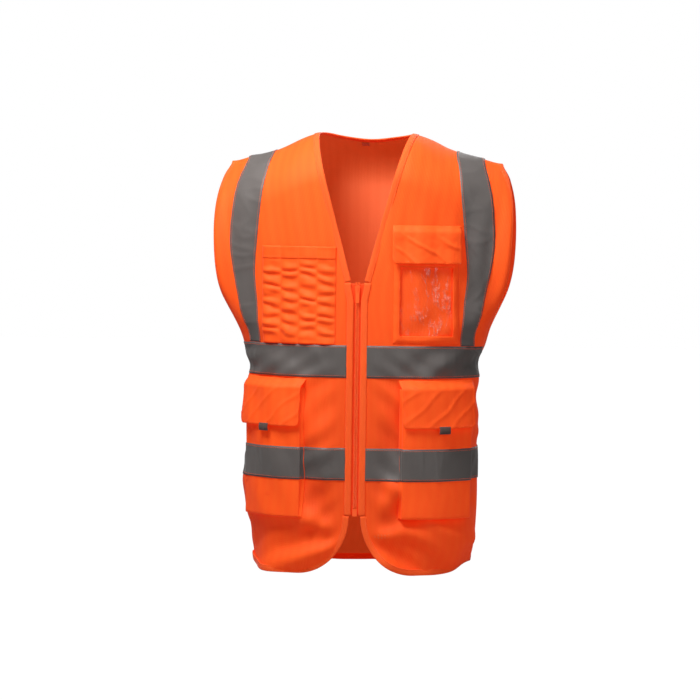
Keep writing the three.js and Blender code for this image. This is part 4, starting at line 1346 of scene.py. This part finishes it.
def badge_window():
    """Clear film, creased by folding and by what has been pushed in behind it."""
    rows, columns = 90, 70
    lap = BADGE_BORDER - 3 * MM
    down, across = grid(rows, columns)
    x = mix(BADGE_X[0] + lap, BADGE_X[1] - lap, across)
    z = mix(BADGE_WINDOW_TOP + 3 * MM, BADGE_FOOT + lap, down)
    points, normals = on_body(FRONT, x, z, 0)
    slack = 0.9 * MM * noise_at(points, (38, 38, 22), 61)
    slack += 1.1 * MM * ridges(noise_at(points, (50, 50, 30), 62), 3.5)
    slack += 0.7 * MM * ridges(noise_at(points, (90, 90, 120), 63), 3.5)
    held = smooth(np.minimum(np.minimum(across, 1 - across) * 8, np.minimum(
        down, 1 - down) * 10), 0, 1)
    lift = badge_height(x, z) - 1.2 * MM + slack * held
    points = points + normals * lift[:, None]
    obj = cloth_sheet("badge_film", points, normals, rows, columns, 0.3 * MM,
                      MATERIALS["film"])
    worn_as(obj, "vest", "badge_window")


def badge_flap():
    rows, columns = 34, 52
    lap = 2.5 * MM
    down, across = grid(rows, columns)
    fallen = flap_shape(down, across, 0.09)
    x = mix(BADGE_X[0] - lap, BADGE_X[1] + lap, across)
    z = BADGE_TOP - fallen * BADGE_FLAP_DROP
    points, normals = on_body(FRONT, x, z, 0)
    step = smooth(fallen, 0.0, 0.2)
    lift = mix(CLOTH + 0.6 * MM, CLOTH + BADGE_RAISE + 3.0 * MM, step)
    slant = (across * 1.1 - fallen * 0.9) * 6.5
    crease = ridges(np.sin(slant) + 0.7 * noise_at(points, (24, 24, 24), 71), 1.5)
    low = smooth(fallen, 0.1, 0.5)
    lift = lift + 2.6 * MM * crease * low * smooth(across * (1 - across), 0, 0.1)
    lift = lift + 1.8 * MM * noise_at(points, (30, 30, 18), 72) * low + 4.2 * MM * fallen ** 2
    lift = lift + 0.45 * MM * noise_at(points, (130, 130, 130), 73)
    points = points + normals * lift[:, None]
    normals = grid_normals(points, rows, columns, (0.3, -1, 0))
    obj = cloth_sheet("badge_cover", points, normals, rows, columns, 1.1 * MM,
                      MATERIALS["pocket_knit"])
    worn_as(obj, None, "badge_flap")
    middle = laid_out(points, rows, columns)[0, columns // 2]
    blend_down(obj, middle)
    return points + normals * 1.1 * MM, normals, rows, columns


def chest_strip(name, x_range, top, foot, lift, node, body):
    """A strip of hook or loop above the badge window."""
    rows, columns = 6, 30
    down, across = grid(rows, columns)
    x, z = mix(x_range[0], x_range[1], across), mix(top, foot, down)
    points, normals = on_body(FRONT, x, z, lift)
    obj = cloth_sheet(name, points, normals, rows, columns, 0.5 * MM, MATERIALS["fleece"])
    worn_as(obj, body, node)


PEN_X = (34 * MM, 150 * MM)
PEN_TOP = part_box("pen_pocket_hem")[1].z
PEN_FOOT = CHEST_BAND_TOP + 1 * MM
PEN_CHANNELS = 4
PEN_HEM = PEN_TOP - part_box("pen_pocket_hem")[0].z


def pen_surface(across, z, lift=0.0):
    """The pen pocket's puckered face: four channels between sewn seams."""
    x = -mix(PEN_X[1], PEN_X[0], across)
    points, normals = on_body(FRONT, x, z, CLOTH)
    channel = np.abs(np.sin(across * PEN_CHANNELS * math.pi))
    in_channel = np.floor(across * PEN_CHANNELS * 0.9999)
    below = smooth(PEN_TOP - z, 0.01, 0.04) * smooth(z - PEN_FOOT, 0, 0.02)
    wobble = noise_at(points, (30, 30, 60), 81)
    gather = np.sin((z + 0.006 * in_channel) / 0.0165 * 2 * math.pi
                    + across * 7 + 2.6 * wobble)
    height = channel ** 0.6 * (2.6 + 1.9 * gather * below + 1.1 * wobble)
    height = height + 0.5 * noise_at(points, (90, 90, 160), 82) * below
    return points + normals * (np.maximum(height, 0.12) * MM + lift)[:, None], normals


def pen_pocket():
    rows, columns = 92, 96
    down, across = grid(rows, columns)
    z = mix(PEN_TOP, PEN_FOOT, down)
    points, _ = pen_surface(across, z)
    normals = grid_normals(points, rows, columns, (-0.3, -1, 0))
    obj = cloth_sheet("pen_channels", points, normals, rows, columns, 0.8 * MM,
                      MATERIALS["pocket_knit"])
    worn_as(obj, "vest", "pen_pocket")
    p, n = strip_grids((points + normals * 0.8 * MM, normals, rows, columns))
    every = columns // PEN_CHANNELS
    lines = [(p[2:, k * every], n[2:, k * every]) for k in range(1, PEN_CHANNELS)]
    lines += [(p[2:, 1], n[2:, 1]), (p[2:, columns - 1], n[2:, columns - 1])]
    return lines


def pen_hem():
    rows, columns = 12, 96
    down, across = grid(rows, columns)
    z = PEN_TOP + 0.8 * MM - down * PEN_HEM
    points, _ = pen_surface(across, z, 0.9 * MM)
    normals = grid_normals(points, rows, columns, (-0.3, -1, 0))
    obj = cloth_sheet("pen_hem", points, normals, rows, columns, 0.7 * MM,
                      MATERIALS["pocket_knit"])
    worn_as(obj, "vest", "pen_pocket_hem")
    return inset_lines((points + normals * 0.7 * MM, normals, rows, columns), 2,
                       ("top", "foot"))


# ---- zip -------------------------------------------------------------------------------------

TOOTH_PITCH = 2.5 * MM


def zip_facing(word, hand):
    """The folded facing that borders the zip, rolled at its inner edge."""
    top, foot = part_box(f"front_facing_{word}")[1].z + 5 * MM, ZIP_FOOT_Z + 1 * MM
    rows, columns = 150, 10
    down, across = grid(rows, columns)
    z = mix(top, foot, down)
    spread = 4.4 * MM * smooth(z, V_BOTTOM_Z - 0.032, V_BOTTOM_Z - 0.002)
    x = hand * (mix(FACING_INNER_X - 0.6 * MM, FACING_OUTER_X + 0.8 * MM, across) + spread)
    points = np.stack([x, np.full(len(x), -FRONT_DEPTH), z], axis=1)
    ripple = noise_at(points, (60, 60, 70), 91)
    swell = 0.7 * MM * np.sin(math.pi * np.clip(across, 0, 1)) ** 0.6
    points[:, 1] -= CLOTH * 0.6 + swell + 0.35 * MM * ripple * across
    points[:, 0] += 0.35 * MM * noise_at(points, (0, 0, 55), 92 + hand) * (1 - across)
    normals = grid_normals(points, rows, columns, (0, -1, 0))
    obj = cloth_sheet(f"facing_{word}", points, normals, rows, columns, 1.0 * MM,
                      MATERIALS["binding"])
    worn_as(obj, "vest", f"front_facing_{word}")
    return points + normals * 1.0 * MM, normals, rows, columns


def zip_cloth(word, hand):
    low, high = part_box(f"zip_tape_{word}")
    rows, columns = 120, 6
    down, across = grid(rows, columns)
    near, far = sorted((abs(low.x), abs(high.x)))
    x = hand * mix(near - 1.2 * MM, far, across)
    z = mix(high.z + 6 * MM, low.z, down)
    points = np.stack([x, np.full(len(x), high.y), z], axis=1)
    normals = np.tile(np.array([[0.0, -1.0, 0.0]]), (len(points), 1))
    obj = cloth_sheet(f"zip_tape_cloth_{word}", points, normals, rows, columns, 0.6 * MM,
                      MATERIALS["zip_cloth"])
    worn_as(obj, "vest", f"zip_tape_{word}")


def tooth(hand):
    """One moulded tooth: a clamp on the tape's edge and a head that hooks past the centre."""
    bpy.ops.object.select_all(action="DESELECT")
    bpy.ops.mesh.primitive_cube_add(size=1, location=(0, 0, 0))
    obj = bpy.context.object
    obj.scale = (3.0 * MM, 2.3 * MM, 1.35 * MM)
    bpy.ops.object.transform_apply(location=False, rotation=False, scale=True)
    bpy.ops.object.mode_set(mode="EDIT")
    work = bmesh.from_edit_mesh(obj.data)
    for face in work.faces:
        face.select = face.normal.x < -0.9
    bmesh.update_edit_mesh(obj.data)
    bpy.ops.mesh.extrude_region_move(TRANSFORM_OT_translate={"value": (-0.9 * MM, 0, 0)})
    bpy.ops.transform.resize(value=(1, 0.72, 1.15))
    bpy.ops.mesh.select_all(action="SELECT")
    bpy.ops.mesh.bevel(offset=0.22 * MM, segments=1, affect="EDGES")
    bpy.ops.object.mode_set(mode="OBJECT")
    corners = np.array([v.co for v in obj.data.vertices])
    corners[:, 0] = hand * (corners[:, 0] + 1.75 * MM)
    faces = [list(p.vertices) for p in obj.data.polygons]
    bpy.data.objects.remove(obj)
    return corners, faces


def zip_teeth(word, hand):
    corners, faces = tooth(hand)
    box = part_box(f"zip_teeth_{word}")
    centre_y = (box[0].y + box[1].y) / 2
    points, all_faces = [], []
    z = box[0].z + TOOTH_PITCH / 2 + (TOOTH_PITCH / 2 if hand > 0 else 0)
    while z < box[1].z:
        base = len(points)
        points.extend(corners + np.array([0, centre_y, z]))
        all_faces.extend([[base + k for k in f] for f in faces])
        z += TOOTH_PITCH
    mesh = bpy.data.meshes.new(f"teeth_{word}")
    mesh.from_pydata([tuple(p) for p in points], [], all_faces)
    mesh.update()
    obj = bpy.data.objects.new(f"teeth_{word}", mesh)
    bpy.context.scene.collection.objects.link(obj)
    mesh.materials.append(MATERIALS["zip_plastic"])
    recalculate(obj)
    worn_as(obj, "vest", f"zip_teeth_{word}")


def refine_hard(node, material, width):
    """A hard CAD piece keeps its shape and gets softened edges and a better finish."""
    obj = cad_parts[node]
    obj.data.materials.clear()
    obj.data.materials.append(material)
    soften = obj.modifiers.new("soft_edges", "BEVEL")
    soften.width = width
    soften.segments = 2
    soften.limit_method = "ANGLE"
    return obj


# ---- settings --------------------------------------------------------------------------------

class VestStageSettings(bpy.types.PropertyGroup):
    azimuth: bpy.props.FloatProperty(
        name="Azimuth", description="Turn of the camera towards the wearer's left",
        default=math.radians(6), subtype="ANGLE")
    elevation: bpy.props.FloatProperty(
        name="Elevation", description="Height of the camera above level",
        default=math.radians(3), subtype="ANGLE")
    roll: bpy.props.FloatProperty(
        name="Roll", description="Tilt of the camera, positive against the clock",
        default=math.radians(0.8), subtype="ANGLE")
    distance: bpy.props.FloatProperty(
        name="Distance", description="From the camera to the vest", default=5.0, unit="LENGTH")
    width: bpy.props.FloatProperty(
        name="Width", description="Width of the view at the vest", default=1.099, unit="LENGTH")
    across: bpy.props.FloatProperty(
        name="Across", description="Middle of the view, to the right of the vest's middle",
        default=-0.0226, unit="LENGTH")
    height: bpy.props.FloatProperty(
        name="Height", description="Height of the middle of the view", default=-0.34,
        unit="LENGTH")


class VEST_OT_materials(bpy.types.Operator):
    """Make the knit, tape, binding, plastic and film materials"""
    bl_idname = "vest.materials"
    bl_label = "Materials"

    def execute(self, context):
        make_materials()
        return {"FINISHED"}


class VEST_OT_panels(bpy.types.Operator):
    """Make the back and the two fronts"""
    bl_idname = "vest.panels"
    bl_label = "Panels"

    def execute(self, context):
        back_panel(MATERIALS["knit"])
        for word, hand in HANDS.items():
            front_panel(word, hand, MATERIALS["knit_front"])
        return {"FINISHED"}


class VEST_OT_bindings(bpy.types.Operator):
    """Bind the neckline, the armholes and the hem"""
    bl_idname = "vest.bindings"
    bl_label = "Bindings"

    def execute(self, context):
        lines = []
        points, normals, towards = neck_edge()
        lines.append(bound_edge("neck_bound", points, normals, towards, "neck_binding",
                                MATERIALS["binding"]))
        for word, hand in HANDS.items():
            points, normals, towards = armhole_edge(hand)
            lines.append(bound_edge(f"armhole_bound_{word}", points, normals, towards,
                                    f"armhole_binding_{word}", MATERIALS["binding"],
                                    closed=True))
        points, normals = hem_edge()
        lines.append(bound_edge("hem_bound", points, normals, hem_inward(points),
                                "hem_binding", MATERIALS["binding"]))
        stitches("binding_stitching", lines, MATERIALS["thread"], "vest")
        return {"FINISHED"}


class VEST_OT_tapes(bpy.types.Operator):
    """Sew on the reflective tape"""
    bl_idname = "vest.tapes"
    bl_label = "Reflective tape"

    def execute(self, context):
        lines = []
        inset = 0.06
        zip_angle = lambda z, width: np.arcsin((FACING_OUTER_X + 0.3 * MM) / width)
        for word, hand in HANDS.items():
            lines += strip_edges(shoulder_tape(word, hand), inset, along_rows=False)
            inner = lambda z, width, hand=hand: hand * zip_angle(z, width)
            outer = lambda z, width, hand=hand: hand * side_angle(z, width)
            for name, top in LEVEL_BANDS:
                strip = level_tape(f"tape_{name}_{word}", FRONT, top, inner, outer, 64,
                                   f"{name}_band_{word}")
                lines += strip_edges(strip, inset, along_rows=True)
        for name, top in LEVEL_BANDS:
            strip = level_tape(f"tape_{name}_back", BACK, top, lambda z, w: -side_angle(z, w),
                               side_angle, 120, f"{name}_band_back")
            lines += strip_edges(strip, inset, along_rows=True)
        stitches("tape_stitching", lines, MATERIALS["thread"], "vest")
        return {"FINISHED"}


class VEST_OT_zip(bpy.types.Operator):
    """Make the zip, its facings and its hard pieces"""
    bl_idname = "vest.zip"
    bl_label = "Zip"

    def execute(self, context):
        lines = []
        for word, hand in HANDS.items():
            zip_cloth(word, hand)
            zip_teeth(word, hand)
            strip = zip_facing(word, hand)
            lines += strip_edges(strip, 0.24, along_rows=False)
            refine_hard(f"zip_top_stop_{word}", MATERIALS["zip_plastic"], 0.3 * MM)
        for node, width in (("zip_slider", 0.35 * MM), ("zip_puller", 0.25 * MM),
                            ("zip_retainer_box", 0.4 * MM), ("zip_insertion_pin", 0.3 * MM)):
            refine_hard(node, MATERIALS["zip_plastic"], width)
        stitches("zip_stitching", lines, MATERIALS["thread"], "vest")
        return {"FINISHED"}


STRIP_INSET = 14 * MM
TAB_WIDTH = 17 * MM
TAB_THICKNESS = 1.6 * MM


class VEST_OT_lower_pockets(bpy.types.Operator):
    """Make the two lower pockets with their flaps, fasteners, tape and tabs"""
    bl_idname = "vest.lower_pockets"
    bl_label = "Lower pockets"

    def execute(self, context):
        for word, hand in HANDS.items():
            pocket = Pocket(word, hand)
            body = f"pocket_flap_{word}"
            bag = pocket_bag(pocket)
            lines = strip_edges(bag_tape(pocket, bag), 0.06, along_rows=True)
            stitches(f"pocket_stitching_{word}", lines, MATERIALS["thread"], "vest")
            inset = STRIP_INSET / pocket.width
            low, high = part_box(f"pocket_hook_{word}")
            for kind, lift, rider in (("hook", 1.05 * MM, "vest"), ("loop", 1.8 * MM, body)):
                strip = face_sheet(pocket, f"{kind}_strip_{word}", inset, high.z, low.z, lift)
                worn_as(strip, rider, f"pocket_{kind}_{word}")
            flap = pocket_flap(pocket)
            stitches(f"flap_stitching_{word}", inset_lines(flap, 2), MATERIALS["thread"], body)
            self.tab(pocket, body)
        return {"FINISHED"}

    def tab(self, pocket, body):
        """A short folded webbing tab sewn to the flap's lower edge."""
        low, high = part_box(f"pocket_tab_{pocket.word}")
        centre = (np.array(low) + np.array(high)) / 2
        share = float((centre - pocket.start) @ pocket.along) / pocket.width
        rows, columns = 10, 12
        down, across = grid(rows, columns)
        place = share + (across - 0.5) * TAB_WIDTH / pocket.width
        foot = flap_points(pocket, np.full(len(down), 0.94), place)
        points = foot + pocket.out * 2.0 * MM
        points[:, 2] = mix(high.z, low.z, down)
        points += np.outer(1.2 * MM * np.sin(down * math.pi), pocket.out)
        normals = grid_normals(points, rows, columns, pocket.out)
        obj = cloth_sheet(f"tab_{pocket.word}", points, normals, rows, columns, TAB_THICKNESS,
                          MATERIALS["webbing"])
        worn_as(obj, body, f"pocket_tab_{pocket.word}")


class VEST_OT_badge_pocket(bpy.types.Operator):
    """Make the badge pocket: frame, film, cover and fasteners"""
    bl_idname = "vest.badge_pocket"
    bl_label = "Badge pocket"

    def execute(self, context):
        badge_window()
        stitches("badge_stitching", badge_frame(), MATERIALS["thread"], "vest")
        low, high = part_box("badge_hook")
        x_range = (BADGE_X[0] + STRIP_INSET, BADGE_X[1] - STRIP_INSET)
        for kind, lift, body in (("hook", 1.6 * MM, "vest"), ("loop", 2.4 * MM, "badge_flap")):
            chest_strip(f"badge_{kind}_strip", x_range, high.z, low.z, BADGE_RAISE + lift,
                        f"badge_{kind}", body)
        stitches("badge_cover_stitching", inset_lines(badge_flap(), 2), MATERIALS["thread"],
                 "badge_flap")
        return {"FINISHED"}


class VEST_OT_pen_pocket(bpy.types.Operator):
    """Make the pen pocket with its gathered channels and its hem"""
    bl_idname = "vest.pen_pocket"
    bl_label = "Pen pocket"

    def execute(self, context):
        stitches("pen_stitching", pen_pocket() + pen_hem(), MATERIALS["thread"], "vest")
        return {"FINISHED"}


LABEL_DROP = 47 * MM
LABEL_LENGTH = 8 * MM


class VEST_OT_label(bpy.types.Operator):
    """Sew the blank label into the neck"""
    bl_idname = "vest.label"
    bl_label = "Label"

    def execute(self, context):
        rows, columns = 10, 14
        down, across = grid(rows, columns)
        low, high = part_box("neck_label")
        x = mix(low.x, high.x, across)
        distance = LABEL_DROP + down * LABEL_LENGTH
        share = x / half_width(-drop_of(distance))
        points, normals = on_cloth(BACK, share, distance, -1.0 * MM)
        obj = cloth_sheet("label", points, -normals, rows, columns, 0.4 * MM,
                          MATERIALS["label"])
        worn_as(obj, "vest", "neck_label")
        return {"FINISHED"}


AMBIENT = 0.1
FLOOR_GAP = 6 * MM
LIGHTS_AIM = Vector((0, 0, -0.33))
SENSOR_WIDTH = 36
LIGHTS = (
    ("key", (-0.34, -0.72, 0.72), 0.5, 21), ("fill", (1.7, -2.3, 0.1), 1.4, 13),
    ("top", (0.0, -0.2, 1.6), 1.0, 8), ("back_light", (0.6, 2.3, 0.7), 1.6, 20),
)


class VEST_OT_stage(bpy.types.Operator):
    """Set the floor, the soft lights and the camera"""
    bl_idname = "vest.stage"
    bl_label = "Stage"

    def execute(self, context):
        settings = context.scene.vest_stage
        self.floor()
        self.lights(context)
        self.camera(context, settings)
        return {"FINISHED"}

    def floor(self):
        bpy.ops.object.select_all(action="DESELECT")
        bpy.ops.mesh.primitive_plane_add(size=14, location=(0, 0, HEM_Z - FLOOR_GAP))
        floor = bpy.context.object
        floor.name = "floor"
        made, w, shader = start_material("pale_floor", {
            "Base Color": (0.3, 0.3, 0.3, 1), "Roughness": 0.9})
        glow = w.node("ShaderNodeEmission")
        blend = w.node("ShaderNodeMixShader")
        seen = w.math("MULTIPLY", w.node("ShaderNodeLightPath").outputs["Is Camera Ray"], 0.9)
        w.join(seen, blend.inputs[0])
        w.join(shader.outputs[0], blend.inputs[1])
        w.join(glow.outputs[0], blend.inputs[2])
        w.join(blend.outputs[0], made.node_tree.nodes["Material Output"].inputs["Surface"])
        glow.inputs["Strength"].default_value = 1.12
        floor.data.materials.append(made)

    def lights(self, context):
        world = bpy.data.worlds.new("studio")
        world.use_nodes = True
        w = Wires(world.node_tree)
        backdrop = world.node_tree.nodes["Background"]
        backdrop.inputs[0].default_value = (1, 1, 1, 1)
        seen = w.node("ShaderNodeLightPath").outputs["Is Camera Ray"]
        bright = w.math("ADD", w.math("MULTIPLY", seen, 1.0 - AMBIENT), AMBIENT)
        w.join(bright, backdrop.inputs["Strength"])
        context.scene.world = world
        for name, place, size, power in LIGHTS:
            lamp = bpy.data.lights.new(name, "AREA")
            lamp.energy = power
            lamp.size = size
            holder = bpy.data.objects.new(name, lamp)
            holder.location = place
            aim = LIGHTS_AIM - Vector(place)
            holder.rotation_euler = aim.to_track_quat("-Z", "Y").to_euler()
            context.scene.collection.objects.link(holder)

    def camera(self, context, settings):
        lens = bpy.data.cameras.new("camera")
        lens.sensor_width = SENSOR_WIDTH
        lens.lens = SENSOR_WIDTH * settings.distance / settings.width
        holder = bpy.data.objects.new("camera", lens)
        context.scene.collection.objects.link(holder)
        azimuth, elevation = settings.azimuth, settings.elevation
        right = Vector((math.cos(azimuth), math.sin(azimuth), 0))
        away = Vector((math.sin(azimuth) * math.cos(elevation),
                       -math.cos(azimuth) * math.cos(elevation), math.sin(elevation)))
        aim = right * settings.across + Vector((0, 0, settings.height))
        holder.location = aim + away * settings.distance
        level = (-away).to_track_quat("-Z", "Y")
        roll = Matrix.Rotation(settings.roll, 3, "Z").to_quaternion()
        holder.rotation_euler = (level @ roll).to_euler()
        context.scene.camera = holder
        context.scene.view_settings.view_transform = "Standard"


class VEST_PT_panel(bpy.types.Panel):
    """Lists the vest's pieces in the sidebar"""
    bl_idname = "VEST_PT_panel"
    bl_label = "High visibility vest"
    bl_space_type = "VIEW_3D"
    bl_region_type = "UI"
    bl_category = "Vest"

    def draw(self, context):
        for operator in OPERATORS:
            self.layout.operator(operator.bl_idname)
        stage = context.scene.vest_stage
        for name in ("azimuth", "elevation", "roll", "distance", "width", "across", "height"):
            self.layout.prop(stage, name)


OPERATORS = (
    VEST_OT_materials, VEST_OT_panels, VEST_OT_bindings, VEST_OT_tapes, VEST_OT_zip,
    VEST_OT_lower_pockets, VEST_OT_badge_pocket, VEST_OT_pen_pocket, VEST_OT_label,
    VEST_OT_stage,
)
CLASSES = (VestStageSettings, *OPERATORS, VEST_PT_panel)


def register():
    for cls in CLASSES:
        bpy.utils.register_class(cls)
    bpy.types.Scene.vest_stage = bpy.props.PointerProperty(type=VestStageSettings)


def unregister():
    del bpy.types.Scene.vest_stage
    for cls in reversed(CLASSES):
        bpy.utils.unregister_class(cls)


def main():
    register()
    for operator in OPERATORS:
        group, name = operator.bl_idname.split(".")
        getattr(getattr(bpy.ops, group), name)()


if __name__ == "__main__":
    main()
